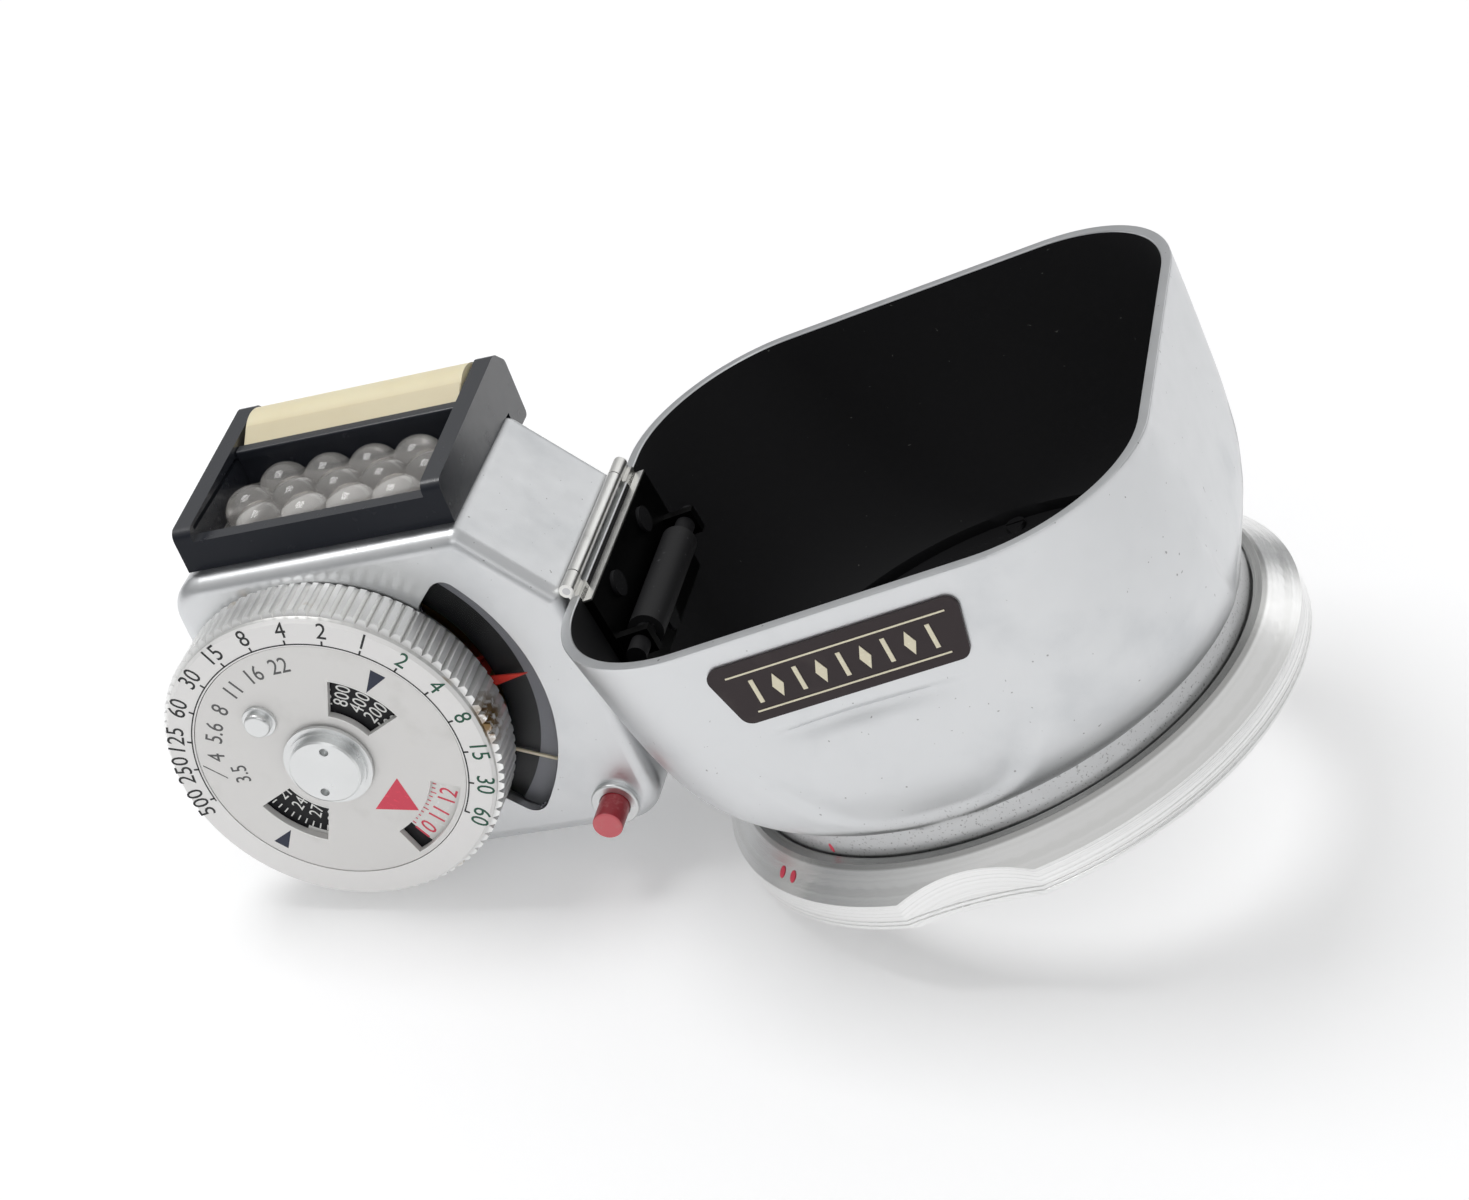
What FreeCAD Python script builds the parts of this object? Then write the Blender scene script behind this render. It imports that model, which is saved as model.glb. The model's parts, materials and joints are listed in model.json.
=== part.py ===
import FreeCAD, Part
import math
import os

# Folding lens hood with a selenium exposure meter, for a twin-lens camera.  Millimetres.
#
# Two working frames are used while drawing:
#   hood frame   X right, Y forward along the lens axis, Z up; origin at the centre of the
#                bayonet ring's rear face
#   meter frame  the same directions when the meter is square to the hood; origin at the rim
#                corner beside the hinge
# The finished part lies as it rests on a table: +Z is up from the table and the dial faces -Y.

os.makedirs("parts", exist_ok=True)
V = FreeCAD.Vector

# ---------------------------------------------------------------- driving dimensions

RING_R = 23.0              # outside radius of the bayonet ring (46 mm bayonet)
RING_BAND = 2.33           # height of the ring's cylindrical band
RING_LIP_R = 21.1          # where the ring's front chamfer ends
RING_FRONT = 4.3           # height of the ring's front face
RING_RECESS_R = 20.15      # front recess that the hood's collar sits in
RING_JOURNAL_R = 18.65     # the ring turns on the neck tube here
RING_JOURNAL_Y = 2.55
RING_COLLAR_Y = 3.4
BAYONET_R = 18.9           # bore that goes over the lens
BAYONET_LAND = 0.9         # length of that bore
BAYONET_GROOVE_R = 19.9    # groove behind it, for the lens's lugs
SLOT_ANGLE = 24.0          # width of each of three entry slots
SCALLOP_HALF = 5.2         # finger scallops in the ring's rim
SCALLOP_DEPTH = 0.5
SCALLOP_AT = 91.0

HOOD_NECK_R = 19.95        # collar of the hood
HOOD_NECK_Y = 3.45
HOOD_FLARE_Y = 6.3         # the hood starts to open here
HOOD_RIM_Y = 26.0
HOOD_HALF_W = 22.3         # outside half width at the rim
HOOD_HALF_H = 21.85        # outside half height at the rim
HOOD_CORNER_R = 11.5
HOOD_WALL = 0.8
NECK_BORE_R = 17.4         # clear light path through the neck
NECK_SCREW_R = 0.4
SECTIONS = 9               # cross-sections in the hood's flare

BAR_X = -19.35             # cross bar inside the hood's hinge wall
BAR_Y = 20.7
BAR_ENDS = (-8.4, 10.4)
SLEEVE_ENDS = (-4.6, 7.2)
CROSS_BAR_R = 0.75
SLEEVE_R = 1.35

METER_TURN = -8.9          # how far the meter is turned at rest, about the hood frame's Z
METER_AT = (-22.22, 26.42)
BODY_LEFT = -30.3
BODY_REAR = -20.5
BODY_FRONT = 6.65
BODY_FACE = 9.28           # dial side
BODY_BACK = -7.57
BODY_CORNER = 3.0
COVER_T = 1.22             # back cover
WALL = 0.9
FACE_T = 0.8
FACE_ROUND = 1.2           # rounding of the face's edge
BACK_ROUND = 0.8
CHAMFER_START = -6.1       # the front right corner is cut off from here to the hinge

HINGE_UP = 0.25            # hinge axis, forward of the meter frame's origin in the hood frame
HINGE_PIN_R = 0.3
HINGE_BARREL_R = 0.55
HINGE_ENDS = (-8.4, 9.0)
KNUCKLE_ENDS = (-6.2, 6.9)
LEAF_T = 0.35

DIAL = (-20.63, -7.35)     # dial axis in the meter frame
DIAL_R = 12.96
DIAL_TOP = 14.23
DIAL_FOOT = 9.45
DISC_R = 10.3
KNURLS = 90
POST_R = 1.2
SCALE_SPAN = (-44.0, 43.0)
SCALE_R = (12.0, 16.0)
SCALE_CORNER = 1.2
NEEDLE_AT = -27.0
POINTER_AT = 3.8
WINDOW_UP = (8.6, 9.2)     # layers under the scale opening, by height in the meter frame
ARROW_UP = (8.1, 8.25)
BLADE_UP = (7.78, 7.93)
SCALE_UP = (7.3, 7.55)
PLATE_UP = (3.6, 4.4)      # movement plate
LOW_WHEEL_UP = (4.6, 5.3)
HIGH_WHEEL_UP = (6.1, 6.6)
FILM_PLATE_UP = (13.1, 13.5)
DISC_FOOT = 13.62
DISC_TOP = 14.18           # a little below the knurled ring's face
SETTING_PIN = (5.9, 130)   # radius and direction from the dial axis
WINDOWS = ((4.2, 7.35, 23, 68), (4.5, 7.55, -157, -114.5), (7.6, 9.9, -69, -24))

GEAR_MODULE = 0.2
SMALL_TEETH = 22
LARGE_TEETH = 38
IDLER_AT = -90.0           # direction of the idler from the dial axis

BUTTON = (-2.9, -18.2)
BUTTON_R = 1.15
BUTTON_TOP = 12.3

FRAME_X = (-28.5, -6.7)    # black frame over the cell
CHEEK = 1.5
FRAME_NEAR = 7.5
FRAME_FAR = -10.7
FRAME_TOP = 9.1
ROLLER_AT = (7.9, -7.4)    # roller axis: forward and up in the meter frame
ROLLER_R = 2.6
BLIND_R = 3.3
LENS_PITCH = 3.75          # honeycomb lens
LENS_ROWS = (-1.55, 1.2, 3.95)
LENS_SEAT = 6.95
LENS_FLAT = 7.4            # plate between the domes
LENS_TOP = 9.3
LENS_DOME_R = 2.1
LENS_ENDS = (-3.1, 6.2)
BAR_UP = (9.5, 10.25)      # pull bar of the blind
TONGUE_UP = (9.65, 9.87)

CLEAR = 0.05               # running clearance


# ---------------------------------------------------------------- frames and helpers

def meter_corner():
    """Centre of the meter's rear left corner rounding, in the hood frame."""
    turn = math.radians(METER_TURN)
    x = BODY_LEFT + BODY_CORNER
    y = BODY_REAR + BODY_CORNER
    return (METER_AT[0] + x * math.cos(turn) - y * math.sin(turn),
            METER_AT[1] + x * math.sin(turn) + y * math.cos(turn))


def resting_tilt():
    """Angle at which the ring's edge and the meter's corner touch the table together."""
    x, y = meter_corner()
    x += RING_R
    return math.degrees(math.acos(BODY_CORNER / math.hypot(x, y)) - math.atan2(-x, y))


HOOD_TO_ROW = FreeCAD.Placement(
    V(0, 0, 0),
    FreeCAD.Rotation(V(0, 1, 0), -resting_tilt()) * FreeCAD.Rotation(V(1, 0, 0), 90))
METER_TO_ROW = HOOD_TO_ROW * FreeCAD.Placement(
    V(METER_AT[0], METER_AT[1], 0), FreeCAD.Rotation(V(0, 0, 1), METER_TURN))


def save(name, shape, placement):
    moved = shape.copy()
    moved.transformShape(placement.toMatrix(), True)
    if not moved.isValid():
        raise ValueError(name + " is not a valid solid")
    moved.exportStep("parts/" + name + ".step")


def tube(outer, inner, z0, z1, at=(0, 0)):
    """Round column on a Z axis, hollow when inner is above zero."""
    body = Part.makeCylinder(outer, z1 - z0, V(at[0], at[1], z0))
    if inner > 0:
        body = body.cut(Part.makeCylinder(inner, z1 - z0, V(at[0], at[1], z0)))
    return body


def rod(radius, p0, p1):
    axis = V(*p1) - V(*p0)
    return Part.makeCylinder(radius, axis.Length, V(*p0), axis)


def box(x0, x1, y0, y1, z0, z1):
    return Part.makeBox(x1 - x0, y1 - y0, z1 - z0, V(x0, y0, z0))


def fuse(*shapes):
    return shapes[0].fuse(list(shapes[1:])).removeSplitter()


def outline(corners):
    """Closed wire through (x, y, radius) corners, each rounded by its radius."""
    edges = []
    starts = []
    ends = []
    mids = []
    count = len(corners)
    for i, (x, y, radius) in enumerate(corners):
        here = V(x, y, 0)
        back = (V(corners[i - 1][0], corners[i - 1][1], 0) - here).normalize()
        ahead = (V(corners[(i + 1) % count][0], corners[(i + 1) % count][1], 0) - here).normalize()
        half = back.getAngle(ahead) / 2
        reach = radius / math.tan(half)
        middle = (back + ahead).normalize()
        starts.append(here + back * reach)
        ends.append(here + ahead * reach)
        mids.append(here + middle * (radius / math.sin(half) - radius))
    for i in range(count):
        if corners[i][2] > 0:
            edges.append(Part.Arc(starts[i], mids[i], ends[i]).toShape())
        edges.append(Part.makeLine(ends[i], starts[(i + 1) % count]))
    return Part.Wire(edges)


def prism(wire, z0, z1):
    solid = Part.Face(wire).extrude(V(0, 0, z1 - z0))
    solid.translate(V(0, 0, z0))
    return solid


def polar(radius, angle, at=DIAL, z=0.0):
    a = math.radians(angle)
    return V(at[0] + radius * math.cos(a), at[1] + radius * math.sin(a), z)


def sector(r0, r1, a0, a1, z0, z1, at=DIAL):
    """Part of a ring between two angles."""
    mid = (a0 + a1) / 2
    wire = Part.Wire([
        Part.Arc(polar(r1, a0, at), polar(r1, mid, at), polar(r1, a1, at)).toShape(),
        Part.makeLine(polar(r1, a1, at), polar(r0, a1, at)),
        Part.Arc(polar(r0, a1, at), polar(r0, mid, at), polar(r0, a0, at)).toShape(),
        Part.makeLine(polar(r0, a0, at), polar(r1, a0, at))])
    return prism(wire, z0, z1)


def soft_sector(r0, r1, a0, a1, z0, z1, radius):
    """Sector about the dial axis with its four upright edges rounded."""
    solid = sector(r0, r1, a0, a1, z0, z1)
    upright = [e for e in solid.Edges if e.BoundBox.ZLength > (z1 - z0) / 2]
    return solid.makeFillet(radius, upright)


def spoke(r0, r1, width, z0, z1, angle, at=DIAL):
    """Straight bar that points away from an axis."""
    bar = box(at[0] + r0, at[0] + r1, at[1] - width / 2, at[1] + width / 2, z0, z1)
    bar.rotate(V(at[0], at[1], 0), V(0, 0, 1), angle)
    return bar


def turned(profile):
    """Solid of revolution about the hood's Y axis from (radius, y) points."""
    wire = Part.makePolygon([V(r, y, 0) for r, y in profile + profile[:1]])
    return Part.Face(wire).revolve(V(0, 0, 0), V(0, 1, 0), 360)


def gear(teeth, z0, z1, at, first_tooth, bore):
    """Spur gear with straight-sided teeth, cut thin enough to run with backlash."""
    tip = GEAR_MODULE * (teeth / 2 + 0.9)
    root = GEAR_MODULE * (teeth / 2 - 1.15)
    pitch = 360.0 / teeth
    points = []
    for tooth in range(teeth):
        middle = first_tooth + tooth * pitch
        points.append(polar(root, middle - 0.30 * pitch, at))
        points.append(polar(tip, middle - 0.12 * pitch, at))
        points.append(polar(tip, middle + 0.12 * pitch, at))
        points.append(polar(root, middle + 0.30 * pitch, at))
    blank = prism(Part.makePolygon(points + points[:1]), z0, z1)
    return blank.cut(tube(bore, 0, z0, z1, at))


# ---------------------------------------------------------------- hood

def rounded_square(half_w, half_h, corner, y):
    """Cross-section of the hood at height y."""
    x = half_w - corner
    z = half_h - corner
    d = corner * math.sqrt(0.5)
    arcs = [(V(half_w, y, z), V(x + d, y, z + d), V(x, y, half_h)),
            (V(-x, y, half_h), V(-x - d, y, z + d), V(-half_w, y, z)),
            (V(-half_w, y, -z), V(-x - d, y, -z - d), V(-x, y, -half_h)),
            (V(x, y, -half_h), V(x + d, y, -z - d), V(half_w, y, -z))]
    edges = []
    for i, arc in enumerate(arcs):
        edges.append(Part.Arc(*arc).toShape())
        edges.append(Part.makeLine(arc[2], arcs[(i + 1) % 4][0]))
    return Part.Wire(edges)


def flare(inset):
    """Hood form: a circle at the neck that grows into a rounded square at the rim."""
    short_flat = 0.15
    wires = []
    for i in range(SECTIONS):
        step = (i / (SECTIONS - 1)) ** 1.6
        y = HOOD_FLARE_Y + (HOOD_RIM_Y - HOOD_FLARE_Y) * step
        fullness = 1 - (1 - step) ** 6
        half_w = HOOD_NECK_R + (HOOD_HALF_W - HOOD_NECK_R) * fullness
        half_h = HOOD_NECK_R + (HOOD_HALF_H - HOOD_NECK_R) * fullness
        corner = (HOOD_NECK_R - short_flat) - (HOOD_NECK_R - short_flat - HOOD_CORNER_R) * step ** 0.6
        wires.append(rounded_square(half_w - inset, half_h - inset, corner - inset, y))
    return Part.makeLoft(wires, True, False)


def hood_shell():
    floor_y = RING_FRONT + 0.3
    ledge = 0.8
    collar = turned([(NECK_BORE_R, floor_y), (19.15, floor_y), (19.15, HOOD_NECK_Y),
                     (HOOD_NECK_R, HOOD_NECK_Y), (HOOD_NECK_R, HOOD_FLARE_Y),
                     (HOOD_NECK_R - HOOD_WALL, HOOD_FLARE_Y), (HOOD_NECK_R - HOOD_WALL, floor_y + ledge),
                     (NECK_BORE_R, floor_y + ledge)])
    shell = flare(0).cut(flare(HOOD_WALL))
    shell = shell.fuse(collar)
    for z0, z1 in leaf_tabs():
        shell = shell.cut(box(-23, -21.4, HOOD_RIM_Y - 2.6, HOOD_RIM_Y + 1, z0 - CLEAR, z1 + CLEAR))
    for point in neck_screw_points():
        shell = shell.cut(rod(NECK_SCREW_R, (point.x, floor_y - 1, point.z), (point.x, floor_y + 2, point.z)))
    for y, z in rivet_points():
        shell = shell.cut(rod(0.6, (-24, y, z), (-20, y, z)))
    return shell


def neck_screw_points():
    radius = NECK_BORE_R + 0.65
    angles = (30, 150, 270)
    return [V(radius * math.cos(math.radians(a)), 0, radius * math.sin(math.radians(a))) for a in angles]


def neck_tube():
    """Turned sleeve below the hood that the bayonet ring turns on."""
    foot_y = 1.95
    top_y = RING_FRONT + 0.3
    journal = RING_JOURNAL_R - CLEAR
    body = turned([(NECK_BORE_R, foot_y), (18.0, foot_y), (18.0, RING_JOURNAL_Y - CLEAR),
                   (journal, RING_JOURNAL_Y - CLEAR), (journal, HOOD_NECK_Y), (19.1, HOOD_NECK_Y),
                   (19.1, top_y), (NECK_BORE_R, top_y)])
    for point in neck_screw_points():
        body = body.cut(rod(NECK_SCREW_R, (point.x, 2.8, point.z), (point.x, top_y, point.z)))
    return body


def neck_screws():
    head_y = RING_FRONT + 0.3 + 0.8
    screws = []
    for point in neck_screw_points():
        shank = rod(NECK_SCREW_R, (point.x, 2.8, point.z), (point.x, head_y, point.z))
        head = rod(0.8, (point.x, head_y, point.z), (point.x, head_y + 0.45, point.z))
        slot = box(point.x - 1, point.x + 1, head_y + 0.25, head_y + 1, point.z - 0.1, point.z + 0.1)
        screws.append(fuse(shank, head).cut(slot))
    return Part.makeCompound(screws)


def ring_retainer():
    """Threaded ring that keeps the bayonet ring on the neck tube."""
    body = turned([(18.0, 1.95), (19.5, 1.95), (19.5, 2.5), (18.0, 2.5)])
    for angle in (0, 180):
        a = math.radians(angle)
        x, z = 18.8 * math.cos(a), 18.8 * math.sin(a)
        body = body.cut(rod(0.4, (x, 1.9, z), (x, 2.3, z)))
    return body


def bayonet_ring():
    body = turned([
        (BAYONET_R, 0), (RING_R - 0.2, 0), (RING_R, 0.2), (RING_R, RING_BAND),
        (RING_LIP_R, RING_FRONT - 0.25), (RING_LIP_R - 0.25, RING_FRONT), (RING_RECESS_R, RING_FRONT),
        (RING_RECESS_R, RING_COLLAR_Y), (RING_JOURNAL_R, RING_COLLAR_Y),
        (RING_JOURNAL_R, RING_JOURNAL_Y), (BAYONET_GROOVE_R, RING_JOURNAL_Y),
        (BAYONET_GROOVE_R, BAYONET_LAND), (BAYONET_R, BAYONET_LAND)])
    chord = math.sqrt(RING_R ** 2 - SCALLOP_HALF ** 2)
    cutter_r = (SCALLOP_HALF ** 2 + SCALLOP_DEPTH ** 2) / (2 * SCALLOP_DEPTH)
    reach = chord - SCALLOP_DEPTH + cutter_r
    for angle in (SCALLOP_AT, SCALLOP_AT + 180):
        a = math.radians(angle)
        x, z = reach * math.cos(a), reach * math.sin(a)
        body = body.cut(rod(cutter_r, (x, -1, z), (x, RING_FRONT + 1, z)))
    for i in range(3):
        start = 120 * i - SLOT_ANGLE / 2
        slot = Part.makeCylinder(BAYONET_GROOVE_R, BAYONET_LAND + 0.1, V(0, -0.05, 0), V(0, 1, 0), SLOT_ANGLE)
        slot = slot.cut(rod(BAYONET_R - 0.5, (0, -1, 0), (0, 2, 0)))
        slot.rotate(V(0, 0, 0), V(0, 1, 0), start)
        body = body.cut(slot)
    return body


def nameplate():
    """Thin dark plate on the hood's upper wall; it carries no lettering."""
    wire = outline([(-9.6, 24.3, 0.9), (-8.4, 19.5, 0.9), (8.2, 19.5, 0.9), (9.3, 24.3, 0.9)])
    return prism(wire, HOOD_HALF_H, HOOD_HALF_H + 0.25)


def cross_bar():
    return rod(CROSS_BAR_R, (BAR_X, BAR_Y, BAR_ENDS[0]), (BAR_X, BAR_Y, BAR_ENDS[1]))


def bar_sleeve():
    outer = rod(SLEEVE_R, (BAR_X, BAR_Y, SLEEVE_ENDS[0]), (BAR_X, BAR_Y, SLEEVE_ENDS[1]))
    return outer.cut(cross_bar())


# ---------------------------------------------------------------- hinge

HINGE_X = METER_AT[0]
HINGE_Y = METER_AT[1] + HINGE_UP


def leaf_tabs():
    """Height ranges of the hood leaf's two barrels."""
    return [(HINGE_ENDS[0], KNUCKLE_ENDS[0] - 0.1), (KNUCKLE_ENDS[1] + 0.1, HINGE_ENDS[1])]


def rivet_points():
    return [(23.7, -4.0), (23.7, 4.6), (17.4, 0.3)]


def hood_hinge_leaf():
    inside = HOOD_HALF_W - HOOD_WALL
    leaf = box(-HOOD_HALF_W, -inside + 0.7, 16.2, HOOD_RIM_Y - 0.5, *HINGE_ENDS)
    leaf = leaf.common(flare(HOOD_WALL + 0.02))
    for z0, z1 in leaf_tabs():
        tab = box(-HOOD_HALF_W, -inside, HOOD_RIM_Y - 2.5, HOOD_RIM_Y + 0.1, z0, z1)
        neck = box(-HOOD_HALF_W, HINGE_X + 0.45, HOOD_RIM_Y, HINGE_Y, z0, z1)
        barrel = tube(HINGE_BARREL_R, 0, z0, z1, (HINGE_X, HINGE_Y))
        leaf = leaf.fuse([tab, neck, barrel])
    for z0, z1 in ((-7.6, -6.8), (8.0, 8.8)):
        leaf = leaf.fuse(box(-inside, BAR_X + 1.0, BAR_Y - 1.0, BAR_Y + 1.0, z0, z1))
    leaf = leaf.cut(cross_bar())
    leaf = leaf.cut(tube(HINGE_PIN_R, 0, HINGE_ENDS[0], HINGE_ENDS[1], (HINGE_X, HINGE_Y)))
    for y, z in rivet_points():
        leaf = leaf.cut(rod(0.6, (-24, y, z), (-20, y, z)))
    return leaf.removeSplitter()


def hood_leaf_rivets():
    inside = HOOD_HALF_W - HOOD_WALL
    rivets = []
    for y, z in rivet_points():
        shank = rod(0.6, (-HOOD_HALF_W, y, z), (-inside + 0.7, y, z))
        head = rod(1.0, (-inside + 0.7, y, z), (-inside + 1.0, y, z))
        rivets.append(fuse(shank, head))
    return Part.makeCompound(rivets)


def hinge_pin():
    return tube(HINGE_PIN_R, 0, HINGE_ENDS[0], HINGE_ENDS[1], (HINGE_X, HINGE_Y))


def hinge_in_meter():
    """Hinge axis in the meter frame."""
    turn = math.radians(-METER_TURN)
    return (-HINGE_UP * math.sin(turn), HINGE_UP * math.cos(turn))


def meter_hinge_leaf():
    at = hinge_in_meter()
    barrel = tube(HINGE_BARREL_R, 0, *KNUCKLE_ENDS, at)
    plate = box(-0.5, -0.5 + LEAF_T, -9.5, at[1], *KNUCKLE_ENDS)
    leaf = fuse(barrel, plate)
    leaf = leaf.cut(tube(HINGE_PIN_R + CLEAR, 0, *KNUCKLE_ENDS, at))
    for screw in leaf_screw_solids():
        leaf = leaf.cut(screw)
    return leaf


def leaf_screw_solids():
    screws = []
    for z in (-2.4, 3.6):
        head = Part.makeCone(0.55, 0.9, LEAF_T, V(-0.5, -5.4, z), V(1, 0, 0))
        screws.append(fuse(head, rod(0.5, (-3.0, -5.4, z), (-0.5, -5.4, z))))
    return screws


def meter_leaf_screws():
    slots = [box(-0.25, 0, -6.4, -4.4, z - 0.1, z + 0.1) for z in (-2.4, 3.6)]
    return Part.makeCompound([s.cut(c) for s, c in zip(leaf_screw_solids(), slots)])


# ---------------------------------------------------------------- meter case

def case_outline():
    return outline([
        (BODY_LEFT, BODY_FRONT, BODY_CORNER), (CHAMFER_START - 0.35, BODY_FRONT, 1.0),
        (-0.62, -0.05, 0.3), (0.85, BODY_REAR, 3.2), (BODY_LEFT, BODY_REAR, BODY_CORNER)])


def case_prism(inset, z0, z1):
    face = Part.Face(case_outline())
    if inset > 0:
        face = face.makeOffset2D(-inset)
    solid = face.extrude(V(0, 0, z1 - z0))
    solid.translate(V(0, 0, z0))
    return solid


def soften(solid, z, radius):
    """Round the edges that lie in one level face."""
    edges = [e for e in solid.Edges if abs(e.BoundBox.ZMin - z) < 0.01 and abs(e.BoundBox.ZMax - z) < 0.01]
    return solid.makeFillet(radius, edges)


def blind_trough(radius):
    y, z = ROLLER_AT
    return rod(radius, (FRAME_X[0] + CHEEK - 0.1, y, z), (FRAME_X[1] - CHEEK + 0.1, y, z))


def cover_screw_points():
    return [(-27.0, -17.2), (-27.0, 1.2), (-12.5, -18.3), (-3.6, -1.6)]


def movement_screw_points():
    return [polar(9.2, angle) for angle in (112, 235, 312)]


def top_case():
    split = BODY_BACK + COVER_T
    inside = BODY_FACE - FACE_T
    body = soften(case_prism(0, split, BODY_FACE), BODY_FACE, FACE_ROUND)
    body = body.cut(case_prism(WALL, split, inside))
    pieces = [tube(1.3, 0, split + 1.2, inside, p) for p in cover_screw_points()]
    pieces += [tube(1.1, 0, PLATE_UP[1], inside, (p.x, p.y)) for p in movement_screw_points()]
    pieces.append(box(-3.4, -1.2, -8.0, -2.8, -4.2, inside))
    body = body.fuse(pieces)
    body = body.cut(soft_sector(*SCALE_R, *SCALE_SPAN, inside, BODY_FACE, SCALE_CORNER))
    body = body.cut(tube(2.75, 0, inside, BODY_FACE, DIAL))
    body = body.cut(tube(BUTTON_R + 0.4, 0, 5.2, BODY_FACE, BUTTON))
    body = body.cut(box(FRAME_X[0] + CHEEK + 0.2, FRAME_X[1] - CHEEK - 0.2, 5.0, 7.0, -3.0, 6.0))
    body = body.cut(blind_trough(3.95))
    body = body.cut(box(-0.5, 1.5, -9.6, 2.0, KNUCKLE_ENDS[0] - 0.1, KNUCKLE_ENDS[1] + 0.1))
    body = body.cut(tube(0.8, 0, split, BODY_FACE, hinge_in_meter()))
    for p in cover_screw_points():
        body = body.cut(tube(0.55, 0, split, split + 5.2, p))
    for p in movement_screw_points():
        body = body.cut(tube(0.4, 0, PLATE_UP[1], 7.0, (p.x, p.y)))
    for screw in leaf_screw_solids():
        body = body.cut(screw)
    return body


def back_cover():
    split = BODY_BACK + COVER_T
    body = soften(case_prism(0, BODY_BACK, split), BODY_BACK, BACK_ROUND)
    lip = case_prism(WALL + CLEAR, split, split + 1.0).cut(case_prism(WALL + 0.9, split, split + 1.0))
    body = body.fuse(lip)
    body = body.cut(blind_trough(3.95))
    body = body.cut(tube(0.8, 0, BODY_BACK, split + 1.0, hinge_in_meter()))
    for p in cover_screw_points():
        body = body.cut(tube(1.35, 0, split, split + 1.0, p))
        body = body.cut(tube(0.55, 0, BODY_BACK, split, p))
        body = body.cut(Part.makeCone(1.1, 0.55, 0.6, V(p[0], p[1], BODY_BACK)))
    return body


def cover_screws():
    split = BODY_BACK + COVER_T
    screws = []
    for p in cover_screw_points():
        head = Part.makeCone(1.1, 0.55, 0.6, V(p[0], p[1], BODY_BACK))
        shank = tube(0.55, 0, BODY_BACK + 0.6, split + 5.0, p)
        slot = box(p[0] - 1.2, p[0] + 1.2, p[1] - 0.12, p[1] + 0.12, BODY_BACK - 0.1, BODY_BACK + 0.3)
        screws.append(fuse(head, shank).cut(slot))
    return Part.makeCompound(screws)


# ---------------------------------------------------------------- cell and its frame

def cell_frame():
    x0, x1 = FRAME_X
    y, z = ROLLER_AT
    side = outline([
        (BODY_FRONT, FRAME_NEAR, 0), (FRAME_TOP + 1.0, FRAME_NEAR, 0.8), (10.95, -9.2, 1.2),
        (9.6, FRAME_FAR, 0.8), (4.7, FRAME_FAR, 0.4), (4.7, BODY_BACK - 0.12, 0),
        (BODY_FRONT, BODY_BACK - 0.12, 0)])
    cheek = prism(side, 0, CHEEK)
    # the outline is drawn as (forward, up); turn it so that its thickness runs along X
    cheek.transformShape(FreeCAD.Matrix(0, 0, 1, 0, 1, 0, 0, 0, 0, 1, 0, 0, 0, 0, 0, 1), True)
    left = cheek.copy()
    left.translate(V(x0, 0, 0))
    right = cheek.copy()
    right.translate(V(x1 - CHEEK, 0, 0))
    near = box(x0 + CHEEK, x1 - CHEEK, BODY_FRONT, FRAME_TOP, 6.3, FRAME_NEAR)
    wall = box(x0 + CHEEK, x1 - CHEEK, BODY_FRONT, BAR_UP[0] - 0.1, -3.95, -3.4)
    floor = box(x0 + CHEEK, x1 - CHEEK, BODY_FRONT, LENS_SEAT, -3.7, 6.3)
    floor = floor.cut(box(x0 + CHEEK + 0.6, x1 - CHEEK - 0.6, BODY_FRONT, LENS_SEAT, -2.8, 5.8))
    ends = ((x0 + CHEEK, y, z), (x1 - CHEEK, y, z))
    trough = rod(3.9, *ends).cut(rod(3.45, *ends))
    trough = trough.common(box(x0, x1, 3.5, y - 0.9, FRAME_FAR, 0))
    body = left.fuse([right, near, wall, floor, trough])
    groove = (TONGUE_UP[0] - CLEAR, TONGUE_UP[1] + CLEAR, -4.6, 6.6)
    body = body.cut(box(x0 + CHEEK - 0.45, x0 + CHEEK, *groove))
    body = body.cut(box(x1 - CHEEK, x1 - CHEEK + 0.45, *groove))
    body = body.cut(rod(0.6, (x0 + 0.4, y, z), (x1 - 0.4, y, z)))
    return body.removeSplitter()


def honeycomb_lens():
    """Clear plate with staggered rows of domes, which gather the light on the cell."""
    x0, x1 = FRAME_X[0] + CHEEK + 0.1, FRAME_X[1] - CHEEK - 0.1
    plate = box(x0, x1, LENS_SEAT, LENS_FLAT, *LENS_ENDS)
    domes = []
    for row, z in enumerate(LENS_ROWS):
        count = 4 + row % 2
        for i in range(count):
            x = (x0 + x1) / 2 + (i - (count - 1) / 2) * LENS_PITCH
            domes.append(Part.makeSphere(LENS_DOME_R, V(x, LENS_TOP - LENS_DOME_R, z)))
    caps = domes[0].fuse(domes[1:]).common(box(x0, x1, LENS_FLAT - 0.2, LENS_TOP, *LENS_ENDS))
    return plate.fuse(caps).removeSplitter()


def selenium_cell():
    return box(-27.3, -7.9, 5.1, 5.65, -3.4, 6.6)


def cell_contacts():
    strips = []
    for x in (-25.6, -11.4):
        foot = box(x, x + 2.0, 4.9, 5.1, -3.0, 6.2)
        spring = box(x + 0.4, x + 1.6, 4.3, 4.9, 2.6, 3.2)
        strips.append(fuse(foot, spring))
    return Part.makeCompound(strips)


def blind_roller():
    y, z = ROLLER_AT
    core = rod(ROLLER_R, (FRAME_X[0] + CHEEK + 0.1, y, z), (FRAME_X[1] - CHEEK - 0.1, y, z))
    return core.fuse(rod(0.55, (FRAME_X[0] + 0.6, y, z), (FRAME_X[1] - 0.6, y, z))).removeSplitter()


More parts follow.
